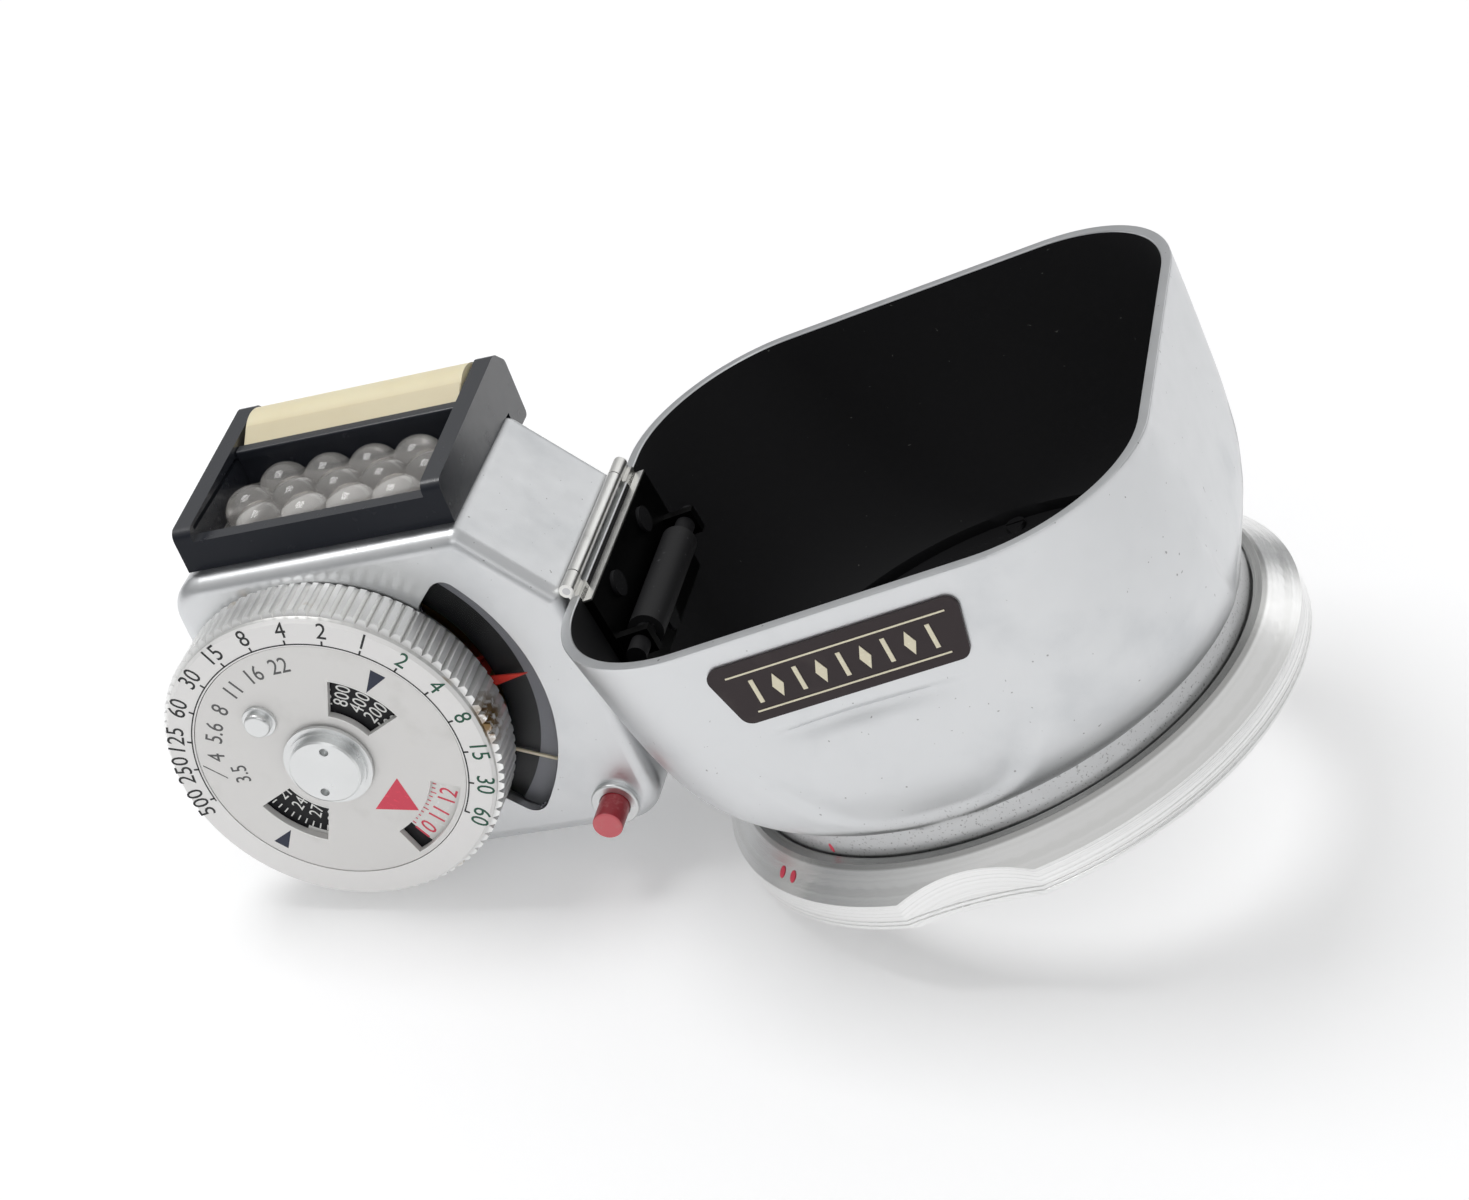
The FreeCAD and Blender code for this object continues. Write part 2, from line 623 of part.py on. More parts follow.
def opal_blind():
    """Diffusing blind, wound on the roller."""
    y, z = ROLLER_AT
    ends = ((FRAME_X[0] + CHEEK + 0.25, y, z), (FRAME_X[1] - CHEEK - 0.25, y, z))
    return rod(BLIND_R, *ends).cut(rod(ROLLER_R, *ends))


def blind_bar():
    """Pull bar on the blind's free edge, guided in the cheeks' grooves."""
    x0, x1 = FRAME_X[0] + CHEEK, FRAME_X[1] - CHEEK
    bar = box(x0 + 0.1, x1 - 0.1, *BAR_UP, -4.25, -3.15)
    bar = bar.makeFillet(0.2, [e for e in bar.Edges if e.BoundBox.XLength > 10 and e.BoundBox.YMin > 10])
    tongues = box(x0 - 0.35, x1 + 0.35, *TONGUE_UP, -4.15, -3.25)
    return bar.fuse(tongues).removeSplitter()


# ---------------------------------------------------------------- exposure scale and movement

def scale_window():
    return soft_sector(SCALE_R[0] + CLEAR, SCALE_R[1] - CLEAR, SCALE_SPAN[0] + 0.2, SCALE_SPAN[1] - 0.2,
                       *WINDOW_UP, SCALE_CORNER)


def scale_plate():
    low, high = SCALE_UP
    plate = sector(11.95, 16.5, -46, 46, low, high)
    rim = sector(14.3, 16.5, -46, 46, high, high + 0.1)
    return plate.fuse(rim).common(case_prism(WALL + CLEAR, low, high + 0.1)).removeSplitter()


def movement_plate():
    plate = tube(10.6, POST_R, *PLATE_UP, DIAL).common(case_prism(WALL + 0.1, *PLATE_UP))
    for p in movement_screw_points():
        plate = plate.cut(tube(0.42, 0, *PLATE_UP, (p.x, p.y)))
    for p in cover_screw_points():
        plate = plate.cut(tube(1.4, 0, *PLATE_UP, p))
    return plate.cut(tube(0.5, 0, *PLATE_UP, idler_centre()))


def movement_screws():
    screws = []
    for p in movement_screw_points():
        at = (p.x, p.y)
        under = PLATE_UP[0] - 0.5
        slot = box(p.x - 0.9, p.x + 0.9, p.y - 0.1, p.y + 0.1, under, under + 0.2)
        head = tube(0.8, 0, under, PLATE_UP[0], at)
        screws.append(fuse(head, tube(0.4, 0, PLATE_UP[0], 6.9, at)).cut(slot))
    return Part.makeCompound(screws)


def idler_centre():
    """The idler stands beside the dial axis, one gear distance away."""
    point = polar(GEAR_MODULE * (SMALL_TEETH + LARGE_TEETH) / 2, IDLER_AT)
    return (point.x, point.y)


def idler_pin():
    at = idler_centre()
    return fuse(tube(0.45, 0, PLATE_UP[0], 7.2, at), tube(0.5, 0, *PLATE_UP, at))


def idler_gear():
    """Two wheels in one; each has a gap where it faces the tooth of its mate."""
    at = idler_centre()
    back = IDLER_AT + 180.0
    bore = 0.45 + CLEAR
    low = gear(SMALL_TEETH, *LOW_WHEEL_UP, at, back + 180.0 / SMALL_TEETH, bore)
    high = gear(LARGE_TEETH, *HIGH_WHEEL_UP, at, back + 180.0 / LARGE_TEETH, bore)
    hub = tube(1.4, bore, LOW_WHEEL_UP[1], HIGH_WHEEL_UP[0], at)
    return fuse(low, hub, high)


def pointer_gear():
    large = gear(LARGE_TEETH, 4.65, 5.15, DIAL, IDLER_AT, POST_R + CLEAR)
    return fuse(large, tube(1.9, POST_R + CLEAR, 4.45, 5.95, DIAL))


def red_pointer():
    """Follower that the dial drives; its tip is a small arrow in the scale window."""
    arm = spoke(3.0, 10.9, 1.0, 5.15, 5.35, POINTER_AT)
    riser = spoke(10.6, 10.9, 1.0, 5.15, ARROW_UP[1], POINTER_AT)
    tip = [polar(10.6, POINTER_AT - 3.4), polar(14.8, POINTER_AT), polar(10.6, POINTER_AT + 3.4)]
    arrow = prism(Part.makePolygon(tip + tip[:1]), *ARROW_UP)
    return fuse(arm, riser, arrow)


def dial_post():
    return tube(POST_R, 0, PLATE_UP[0], DIAL_TOP + 0.92, DIAL)


def dial_spacer():
    return tube(1.9, POST_R, DIAL_FOOT + 0.8, FILM_PLATE_UP[0], DIAL)


def film_speed_plate():
    return tube(10.1, POST_R, *FILM_PLATE_UP, DIAL)


def speed_disc():
    disc = tube(DISC_R, POST_R + CLEAR, DISC_FOOT, DISC_TOP, DIAL)
    for window in WINDOWS:
        disc = disc.cut(sector(*window, DISC_FOOT, DISC_TOP))
    pin = polar(*SETTING_PIN)
    return disc.cut(tube(0.6, 0, DISC_FOOT, DISC_TOP, (pin.x, pin.y)))


def setting_pin():
    centre = polar(*SETTING_PIN)
    at = (centre.x, centre.y)
    top = DIAL_TOP + 0.85
    knob = soften(tube(1.0, 0, DISC_TOP, top, at), top, 0.25)
    collar = soften(tube(1.3, 0, DISC_TOP, DISC_TOP + 0.3, at), DISC_TOP + 0.3, 0.1)
    return fuse(knob, collar, tube(0.6, 0, DISC_FOOT, DISC_TOP, at))


def friction_washer():
    return tube(2.6, POST_R + CLEAR, DISC_TOP, DIAL_TOP + 0.1, DIAL)


def hub_nut():
    x, y = DIAL
    base = DIAL_TOP + 0.12
    profile = [(POST_R, base), (3.4, base), (3.4, base + 0.3), (3.0, base + 0.3), (3.0, base + 0.55),
               (2.75, base + 0.55), (2.75, base + 1.05), (2.6, base + 1.15), (0, base + 1.15),
               (0, base + 0.85), (POST_R, base + 0.85)]
    wire = Part.makePolygon([V(x + r, y, z) for r, z in profile + profile[:1]])
    body = Part.Face(wire).revolve(V(x, y, 0), V(0, 0, 1), 360)
    for side in (68, 248):
        hole = polar(1.85, side)
        body = body.cut(tube(0.35, 0, base + 0.5, base + 2, (hole.x, hole.y)))
    return body


def dial_ring():
    """Knurled ring with a thin floor and a sleeve that runs on the post."""
    points = []
    for i in range(KNURLS):
        angle = 360.0 * i / KNURLS
        points.append(polar(DIAL_R, angle))
        points.append(polar(DIAL_R, angle + 160.0 / KNURLS))
        points.append(polar(DIAL_R - 0.4, angle + 260.0 / KNURLS))
    knurled = prism(Part.makePolygon(points + points[:1]), DIAL_FOOT, DIAL_TOP)
    x, y = DIAL
    shoulder = DIAL_TOP - 0.75
    blank = Part.makePolygon([
        V(x, y, DIAL_FOOT), V(x + DIAL_R - 0.5, y, DIAL_FOOT), V(x + DIAL_R, y, DIAL_FOOT + 0.5),
        V(x + DIAL_R, y, shoulder - 0.1), V(x + DIAL_R - 0.42, y, shoulder + 0.1),
        V(x + DIAL_R - 0.42, y, DIAL_TOP - 0.25), V(x + DIAL_R - 0.65, y, DIAL_TOP), V(x, y, DIAL_TOP),
        V(x, y, DIAL_FOOT)])
    body = knurled.common(Part.Face(blank).revolve(V(x, y, 0), V(0, 0, 1), 360))
    body = body.cut(tube(DISC_R + 0.06, 0, DIAL_FOOT + 0.75, DIAL_TOP + 1, DIAL))
    body = body.fuse(tube(2.6, 0, 6.75, DIAL_FOOT, DIAL))
    return body.cut(tube(POST_R + CLEAR, 0, 6.0, DIAL_TOP, DIAL))


def drive_pinion():
    return gear(SMALL_TEETH, 6.05, 6.75, DIAL, IDLER_AT, POST_R + CLEAR)


def magnet_core():
    """Round magnet inside the coil, held by two side lugs."""
    core = tube(4.2, 0, -4.0, 1.2, DIAL)
    lugs = spoke(-6.4, 6.4, 2.0, -2.4, -0.4, 66)
    return core.fuse(lugs).removeSplitter()


def yoke_ring():
    ring = tube(7.6, 6.0, -4.6, 1.2, DIAL)
    return ring.cut(spoke(-6.4, 6.4, 2.0, -2.4, -0.4, 66))


def moving_coil():
    """Rectangular coil that swings round the core."""
    outer = spoke(-5.5, 5.5, 1.6, -5.0, 1.9, NEEDLE_AT)
    inner = spoke(-4.7, 4.7, 1.6, -4.3, 1.4, NEEDLE_AT)
    return outer.cut(inner)


def coil_staff():
    top = fuse(tube(0.5, 0, 1.9, 2.35, DIAL), tube(0.2, 0, 2.35, 3.0, DIAL))
    low = fuse(tube(0.5, 0, -5.4, -5.0, DIAL), tube(0.2, 0, -6.0, -5.4, DIAL))
    return Part.makeCompound([top, low])


def needle():
    arm = spoke(0.5, 11.6, 0.35, 2.0, 2.2, NEEDLE_AT)
    riser = spoke(11.4, 11.6, 0.35, 2.0, BLADE_UP[1], NEEDLE_AT)
    blade = spoke(11.4, 16.3, 0.22, *BLADE_UP, NEEDLE_AT)
    tail = spoke(-3.6, -0.5, 0.8, 2.0, 2.3, NEEDLE_AT)
    hub = tube(0.9, 0.5, 2.0, 2.3, DIAL)
    return fuse(arm, riser, blade, tail, hub)


def hairsprings():
    springs = []
    for z in (2.4, -5.35):
        springs.append(tube(2.4, 2.25, z, z + 0.2, DIAL).cut(sector(2.0, 3.0, 140, 170, z - 1, z + 1)))
    return Part.makeCompound(springs)


def bridges():
    upper = spoke(-7.4, 7.4, 2.2, 2.65, 3.1, 66).cut(tube(0.25, 0, 2.5, 3.3, DIAL))
    for side in (66, 246):
        foot = polar(6.8, side)
        upper = upper.fuse(tube(0.6, 0, 1.2, 2.65, (foot.x, foot.y)))
    lower = spoke(-7.4, 7.4, 2.2, -6.1, -5.6, 66).cut(tube(0.25, 0, -6.2, -5.5, DIAL))
    for side in (66, 246):
        foot = polar(6.8, side)
        lower = lower.fuse(tube(0.6, 0, -5.6, -4.6, (foot.x, foot.y)))
    return Part.makeCompound([upper.removeSplitter(), lower.removeSplitter()])


# ---------------------------------------------------------------- button

def button_collar():
    top = BODY_FACE + 0.5
    body = fuse(tube(BUTTON_R + 0.4, 0, 7.7, BODY_FACE, BUTTON), tube(BUTTON_R + 0.7, 0, BODY_FACE, top, BUTTON))
    body = soften(body, top, 0.2)
    return body.cut(tube(BUTTON_R + CLEAR, 0, 7.0, top + 1, BUTTON))


def red_button():
    cap = tube(BUTTON_R, 0, 6.9, BUTTON_TOP, BUTTON)
    cap = soften(cap, BUTTON_TOP, 0.2)
    return fuse(cap, tube(BUTTON_R + 0.3, 0, 6.9, 7.6, BUTTON), tube(0.6, 0, 3.2, 6.9, BUTTON))


def button_spring():
    """Three closed rings stand for the coils of the return spring."""
    return Part.makeCompound([
        Part.makeTorus(1.05, 0.15, V(BUTTON[0], BUTTON[1], z)) for z in (4.66, 4.92, 5.18)])


def button_shelf():
    """Small bracket inside the case that the button's spring stands on."""
    plate = box(-4.9, -0.6, -19.3, -16.4, 4.0, 4.5)
    plate = plate.common(case_prism(WALL, 4.0, 4.5))
    return plate.cut(tube(0.7, 0, 4.0, 4.5, BUTTON))


# ---------------------------------------------------------------- build

HOOD_PARTS = [
    hood_shell, neck_tube, neck_screws, ring_retainer, bayonet_ring, nameplate, cross_bar,
    bar_sleeve, hood_hinge_leaf, hood_leaf_rivets, hinge_pin]

METER_PARTS = [
    meter_hinge_leaf, meter_leaf_screws, top_case, back_cover, cover_screws, cell_frame,
    honeycomb_lens, selenium_cell, cell_contacts, blind_roller, opal_blind, blind_bar,
    scale_window, scale_plate, movement_plate, movement_screws, idler_pin, idler_gear,
    pointer_gear, red_pointer, dial_post, dial_spacer, film_speed_plate, speed_disc, setting_pin,
    friction_washer, hub_nut, dial_ring, drive_pinion, magnet_core, yoke_ring, moving_coil,
    coil_staff, needle, hairsprings, bridges, button_collar, red_button, button_spring,
    button_shelf]

for make in HOOD_PARTS:
    save(make.__name__, make(), HOOD_TO_ROW)
for make in METER_PARTS:
    save(make.__name__, make(), METER_TO_ROW)
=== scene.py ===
import bmesh
import bpy
import json
import math
from mathutils import Matrix, Vector


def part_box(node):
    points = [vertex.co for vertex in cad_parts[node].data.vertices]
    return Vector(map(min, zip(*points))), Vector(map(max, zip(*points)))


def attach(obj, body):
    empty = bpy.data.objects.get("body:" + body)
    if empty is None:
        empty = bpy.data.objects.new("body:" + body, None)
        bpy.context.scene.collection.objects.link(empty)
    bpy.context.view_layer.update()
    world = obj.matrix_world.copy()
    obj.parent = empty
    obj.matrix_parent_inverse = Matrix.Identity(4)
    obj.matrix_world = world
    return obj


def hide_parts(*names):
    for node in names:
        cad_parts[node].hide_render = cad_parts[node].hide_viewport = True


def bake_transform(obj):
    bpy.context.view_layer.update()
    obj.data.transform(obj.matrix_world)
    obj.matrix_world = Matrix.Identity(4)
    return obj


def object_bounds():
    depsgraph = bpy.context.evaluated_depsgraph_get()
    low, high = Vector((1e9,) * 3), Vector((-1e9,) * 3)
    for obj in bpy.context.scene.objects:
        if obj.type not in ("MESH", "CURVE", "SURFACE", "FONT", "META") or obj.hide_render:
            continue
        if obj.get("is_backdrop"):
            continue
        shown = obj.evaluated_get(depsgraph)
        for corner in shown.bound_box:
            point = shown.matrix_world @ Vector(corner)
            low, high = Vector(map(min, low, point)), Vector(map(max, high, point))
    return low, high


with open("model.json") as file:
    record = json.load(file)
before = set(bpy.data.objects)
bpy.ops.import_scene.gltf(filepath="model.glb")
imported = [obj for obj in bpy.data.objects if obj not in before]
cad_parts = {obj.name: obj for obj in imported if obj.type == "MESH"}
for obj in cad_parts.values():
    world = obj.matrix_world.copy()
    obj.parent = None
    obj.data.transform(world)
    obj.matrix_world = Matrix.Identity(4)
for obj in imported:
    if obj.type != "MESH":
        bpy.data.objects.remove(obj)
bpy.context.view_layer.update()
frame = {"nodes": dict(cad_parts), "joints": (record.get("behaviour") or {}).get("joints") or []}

# ---------------------------------------------------------------- dimensions
# Millimetres and degrees, unless a name or comment says otherwise.

MM = 0.001                    # one millimetre in metres

NECK_R = 19.95                # hood: collar radius
NECK_FOOT = 3.45              # lowest edge of the hood
FLARE_Y = 6.3                 # height where the wall starts to open
RIM_Y = 26.0                  # height of the mouth
RIM_HALF_W = 22.3
RIM_HALF_H = 21.85
RIM_CORNER = 11.5             # corner radius at the mouth
SHORT_FLAT = 0.15             # flat left between the corners at the neck
WALL = 0.8
RIM_ROUND = 0.12              # edge radius of the mouth
SKIRT_R = 19.15               # bore of the collar below its inner ledge
LEDGE_R = 17.4                # bore of the ledge that carries the neck tube
LEDGE_Y = (4.6, 5.4)
SIDE_POINTS = 44              # mesh points on a flat side and on a corner
ARC_POINTS = 40
WALL_ROWS = 74                # mesh rows between flare and mouth
ROW_CROWDING = 1.15           # above 1, rows crowd towards the flare

FOLD_HALF = 8.4               # fold below the nameplate: half length
FOLD_Y = 18.05
FOLD_DEPTH = 0.42
PRESS_HALF = 12.5             # soft line across each flat wall: half length
PRESS_Y = 7.7                 # its height in the middle of the wall
PRESS_RISE = 15.0             # how far it climbs at 13 mm from the middle
PRESS_TOP = 22.0              # it has faded out at this height
PRESS_DEPTH = 0.42

RING_DOTS_AT = (130.6, 134.2) # places round the lens axis
NECK_MARK_AT = 121.0

MOTIF_Y = 21.85               # nameplate pattern: middle height
MOTIF_COUNT = 9
MOTIF_PITCH = 1.62
MOTIF_HALF_H = 0.95
MOTIF_LINE = 7.6              # half length of its border lines
MOTIF_LINE_OFF = 1.55

INK_THICK = 0.02              # printed ink
INK_LIFT = 0.005              # height of its middle over the surface
LINE_R = 10.55                # knurled ring: circle line
NUMERAL_R = 11.72
NUMERAL = 1.95
STEP = 15.05                  # angle between two shutter times
FIRST = 54.5                  # angle of the time "1"
CROWDED_FROM = 8              # from this time on, the row sits closer by
CROWDED_SHIFT = 1.5
TICK = (0.42, 0.14)           # length and width
LEFT_TIMES = ["1", "2", "4", "8", "15", "30", "60", "125", "250", "500"]
RIGHT_TIMES = ["2", "4", "8", "15", "30", "60"]

STOPS = ["22", "16", "11", "8", "5.6", "4"]
STOP_R = 8.75                 # inner disc: f-numbers
STOP_FIRST = 92.0
STOP_STEP = 15.0
STOP_LEADER = ((10.1, 171.5), (8.55, 179.5), (8.55, 180.2), (10.1, 172.1))   # radius, angle
SPEED_POINTERS = (((7.5, 45.2), (9.6, 41.0), (9.6, 48.2)),
                  ((7.9, -136.0), (9.7, -140.0), (9.7, -133.0)))
VALUE_POINTER = ((7.45, -47.6), (5.1, -28.0), (5.1, -70.0))
SPEED_WINDOWS = ((4.2, 7.35, 23, 68), (4.5, 7.55, -157, -114.5))   # radii, then angles

SPEEDS = ["6400", "3200", "1600", "800", "400", "200", "100", "50", "25", "12", "6"]
SPEED_R = 5.8                 # film-speed plate
SPEED_FIRST = 99.5
SPEED_STEP = 13.5
GRADE_R = 5.7                 # second speed scale
GRADE_AT = -112.0             # angle of grade 30
GRADE_STEP = 4.6
GRADES = range(39, 8, -1)
VALUE_R = 9.0                 # light values
VALUE_AT = -60.0              # angle of value 10
VALUE_STEP = 12.6
VALUES = (5, 6, 7, 8, 10, 11, 12, 13, 14, 15, 16, 17)
PATCH_R = (7.3, 10.0)
VALUE_PATCHES = ((-128.0, -71.5), (-62.5, 44.0))
VALUE_TICK_STEP = 3.15

FILM_START = (2.93, 1.55)     # diffusing film: in front of the roller's axis, along the pull
FILM_END = (2.0, 0.05)        # in front of the roller's axis, past the bar's rear edge
FILM_HALF = 9.1               # half width
FILM_HALF_THICK = 0.06
FILM_ROWS = 16
FILM_COLUMNS = 12

FLOOR_SIZE = 4.0              # metres, as are the lights and camera below
FLOOR_GAP = 0.00002
FLOOR_GLOW = 0.20
WORLD_STRENGTH = 0.62
LIGHTS = (                    # name, position, target, size, watts
    ("key", (-0.25, 0.05, 0.55), (0, 0, 0.01), (0.30, 0.25), 1.35),
    ("front", (0.05, -0.55, 0.35), (0, 0, 0.01), (0.5, 0.15), 0.34),
    ("back", (0.15, 0.55, 0.30), (0, 0, 0.02), (0.6, 0.25), 0.35),
)
AZIMUTH = 16.41
ELEVATION = 33.0
ROLL = 9.87
LENS = 71.66                  # focal length for a 36 mm wide sensor
SENSOR = 36.0
CAMERA_AT = (0.0310, -0.1742, 0.1287)

nodes = frame["nodes"]
joints = {j["name"]: j for j in frame["joints"]}

# ---------------------------------------------------------------- local frames
# Shapes below are drawn in millimetres in one of two frames and then placed in the scene.
# Hood frame: origin at the bayonet, X right, Y along the lens axis, Z towards the dial side.
# Dial frame: origin on the dial axis, X along the meter's long side, Z out of the dial.

DIAL_UP = Vector((0, -1, 0))
LENS_AXIS = Vector(joints["bayonet_turn"]["axis"])
METER_X = Vector(joints["roller_turn"]["axis"])
DIAL_POS = Vector(joints["dial_turn"]["pos_m"])


def frame_matrix(x, y, z, origin):
    """Millimetre frame with the given axes and origin."""
    m = Matrix((x * MM, y * MM, z * MM)).transposed().to_4x4()
    m.translation = origin
    return m


HOOD = frame_matrix(LENS_AXIS.cross(DIAL_UP), LENS_AXIS, DIAL_UP, Vector((0, 0, 0)))
DIAL = frame_matrix(METER_X, DIAL_UP.cross(METER_X), DIAL_UP, DIAL_POS)


def dial_height(node):
    """How far a CAD node reaches out of the dial, in the dial frame (mm)."""
    return -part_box(node)[0].y / MM


# ---------------------------------------------------------------- mesh helpers

def finish_piece(name, mesh, body, material, smooth_angle=35):
    """Object over a mesh: smooth shading, material slot and the body it rides on."""
    piece = bpy.data.objects.new(name, mesh)
    bpy.context.scene.collection.objects.link(piece)
    if not mesh.materials:
        mesh.materials.append(material)
    for polygon in mesh.polygons:
        polygon.use_smooth = True
    mesh.set_sharp_from_angle(angle=math.radians(smooth_angle))
    if body:
        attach(piece, body)
    return piece


def bmesh_piece(name, bm, body, material):
    """Finished piece from a bmesh of closed shells."""
    bmesh.ops.recalc_face_normals(bm, faces=bm.faces)
    mesh = bpy.data.meshes.new(name)
    bm.to_mesh(mesh)
    bm.free()
    return finish_piece(name, mesh, body, material)


def add_prism(bm, points, z0, z1, place):
    """Closed solid over a flat outline of (x, y) points between two heights."""
    low = [bm.verts.new(place @ Vector((x, y, z0))) for x, y in points]
    high = [bm.verts.new(place @ Vector((x, y, z1))) for x, y in points]
    bm.faces.new(low)
    bm.faces.new(high)
    count = len(points)
    for i in range(count):
        j = (i + 1) % count
        bm.faces.new((low[i], low[j], high[j], high[i]))


def polar(radius, angle):
    """Point (x, y) about the dial's centre."""
    a = math.radians(angle)
    return (radius * math.cos(a), radius * math.sin(a))


def arc_band(r0, r1, a0, a1, step=2.0):
    """Outline of a part of a ring."""
    count = max(2, int(abs(a1 - a0) / step) + 1)
    angles = [a0 + (a1 - a0) * i / (count - 1) for i in range(count)]
    return [polar(r1, a) for a in angles] + [polar(r0, a) for a in reversed(angles)]


def radial_mark(radius, length, width, angle):
    """Short tick that points away from the dial's centre."""
    a = math.radians(angle)
    along = Vector((math.cos(a), math.sin(a)))
    side = Vector((-along.y, along.x)) * width / 2
    inner = along * radius
    outer = along * (radius + length)
    return [tuple(p) for p in (inner - side, outer - side, outer + side, inner + side)]


def add_ink(bm, outline, height):
    """Printed shape on the dial, centred on a height."""
    add_prism(bm, outline, height - INK_THICK / 2, height + INK_THICK / 2, DIAL)


def add_text(bm, text, size, place, squeeze=0.88):
    """Numerals as thin closed solids, centred on the placement's origin."""
    curve = bpy.data.curves.new("numeral", "FONT")
    curve.body = text
    curve.size = size
    curve.align_x = "CENTER"
    curve.align_y = "CENTER"
    curve.extrude = INK_THICK / 2
    curve.resolution_u = 3
    holder = bpy.data.objects.new("numeral", curve)
    bpy.context.scene.collection.objects.link(holder)
    mesh = bpy.data.meshes.new_from_object(holder)
    mesh.transform(place @ Matrix.Diagonal((squeeze, 1, 1, 1)))
    bm.from_mesh(mesh)
    bpy.data.objects.remove(holder)
    bpy.data.curves.remove(curve)
    bpy.data.meshes.remove(mesh)


def dial_place(radius, angle, height, turn):
    """Placement on the dial: at a polar position, text turned by an angle."""
    x, y = polar(radius, angle)
    return DIAL @ Matrix.Translation((x, y, height)) @ Matrix.Rotation(math.radians(turn), 4, "Z")


# ---------------------------------------------------------------- material helpers

class Surface:
    """One Principled material and the few node patterns that all finishes share."""

    def __init__(self, name, colour, metallic=0.0, roughness=0.5, **inputs):
        self.material = bpy.data.materials.new(name)
        self.material.use_nodes = True
        self.tree = self.material.node_tree
        self.bsdf = self.tree.nodes["Principled BSDF"]
        self.bsdf.inputs["Base Color"].default_value = (*colour, 1)
        self.bsdf.inputs["Metallic"].default_value = metallic
        self.bsdf.inputs["Roughness"].default_value = roughness
        for key, value in inputs.items():
            self.bsdf.inputs[key.replace("_", " ")].default_value = value
        self.colour = self.rgb(colour)
        self.height = None
        self.coords = self.node("ShaderNodeTexCoord").outputs["Object"]

    def node(self, kind, **settings):
        made = self.tree.nodes.new(kind)
        for key, value in settings.items():
            setattr(made, key, value)
        return made

    def link(self, source, target):
        self.tree.links.new(source, target)

    def rgb(self, colour):
        made = self.node("ShaderNodeRGB")
        made.outputs[0].default_value = (*colour, 1)
        return made.outputs[0]

    def feed(self, made, values):
        """Gives a node's inputs their values, which are other sockets or constants."""
        for socket, value in zip(made.inputs, values):
            if isinstance(value, bpy.types.NodeSocket):
                self.link(value, socket)
            else:
                socket.default_value = value

    def math(self, operation, a, b=0.0):
        made = self.node("ShaderNodeMath", operation=operation)
        self.feed(made, (a, b))
        return made.outputs[0]

    def vector(self, operation, *values):
        made = self.node("ShaderNodeVectorMath", operation=operation)
        self.feed(made, values)
        return made

    def both(self, a, b):
        """A mask that is one only where both masks are."""
        return self.math("MULTIPLY", a, b)

    def noise(self, scale, detail=3.0):
        made = self.node("ShaderNodeTexNoise")
        made.inputs["Scale"].default_value = scale
        made.inputs["Detail"].default_value = detail
        self.link(self.coords, made.inputs["Vector"])
        return made.outputs["Fac"]

    def line_noise(self, value, scale, detail=2.0):
        """Noise that varies along one measure only, as tool marks do."""
        made = self.node("ShaderNodeTexNoise", noise_dimensions="1D")
        made.inputs["Scale"].default_value = scale
        made.inputs["Detail"].default_value = detail
        self.link(value, made.inputs["W"])
        return made.outputs["Fac"]

    def span(self, value, low, high):
        """Zero below low, one above high; the other way round if high is the smaller."""
        made = self.node("ShaderNodeMapRange", interpolation_type="SMOOTHSTEP")
        made.inputs["From Min"].default_value = low
        made.inputs["From Max"].default_value = high
        self.link(value, made.inputs["Value"])
        return made.outputs[0]

    def away_from(self, origin):
        """The place relative to an origin."""
        return self.vector("SUBTRACT", self.coords, origin).outputs[0]

    def along(self, axis, origin=(0, 0, 0)):
        """Distance along an axis, in metres."""
        return self.vector("DOT_PRODUCT", self.away_from(origin), axis).outputs["Value"]

    def radius(self, axis, origin=(0, 0, 0)):
        """Distance from an axis, in metres."""
        cross = self.vector("CROSS_PRODUCT", self.away_from(origin), axis).outputs[0]
        return self.vector("LENGTH", cross).outputs["Value"]

    def brushed_round(self, axis, origin=(0, 0, 0), amount=0.6):
        """Stretches highlights across marks that run round an axis."""
        around = self.vector("CROSS_PRODUCT", axis, self.away_from(origin)).outputs[0]
        self.link(around, self.bsdf.inputs["Tangent"])
        self.bsdf.inputs["Anisotropic"].default_value = amount

    def blot(self, centre, radius_mm):
        """Ragged stain round a point."""
        distance = self.vector("DISTANCE", self.coords, centre).outputs["Value"]
        near = self.span(distance, radius_mm * MM, radius_mm * 0.3 * MM)
        return self.both(near, self.span(self.noise(1500, 4.0), 0.38, 0.55))

    def facing(self, axis):
        """How squarely the surface faces an axis at rest, -1 to 1."""
        normal = self.node("ShaderNodeTexCoord").outputs["Normal"]
        return self.vector("DOT_PRODUCT", normal, axis).outputs["Value"]

    def tint(self, mask, colour):
        """Lays a colour over the base where the mask is one."""
        mix = self.node("ShaderNodeMix", data_type="RGBA")
        self.link(mask, mix.inputs["Factor"])
        self.link(self.colour, mix.inputs[6])
        self.link(self.rgb(colour), mix.inputs[7])
        self.colour = mix.outputs[2]
        self.link(self.colour, self.bsdf.inputs["Base Color"])

    def set_value(self, name, mask, low, high):
        """Drives an input between two values by a mask."""
        made = self.node("ShaderNodeMapRange")
        made.inputs["To Min"].default_value = low
        made.inputs["To Max"].default_value = high
        self.link(mask, made.inputs["Value"])
        self.link(made.outputs[0], self.bsdf.inputs[name])

    def bump(self, height, depth_mm):
        """Adds relief on top of any bump already there."""
        made = self.node("ShaderNodeBump")
        made.inputs["Strength"].default_value = 1.0
        made.inputs["Distance"].default_value = depth_mm * MM
        self.link(height, made.inputs["Height"])
        if self.height is not None:
            self.link(self.height, made.inputs["Normal"])
        self.height = made.outputs[0]
        self.link(self.height, self.bsdf.inputs["Normal"])

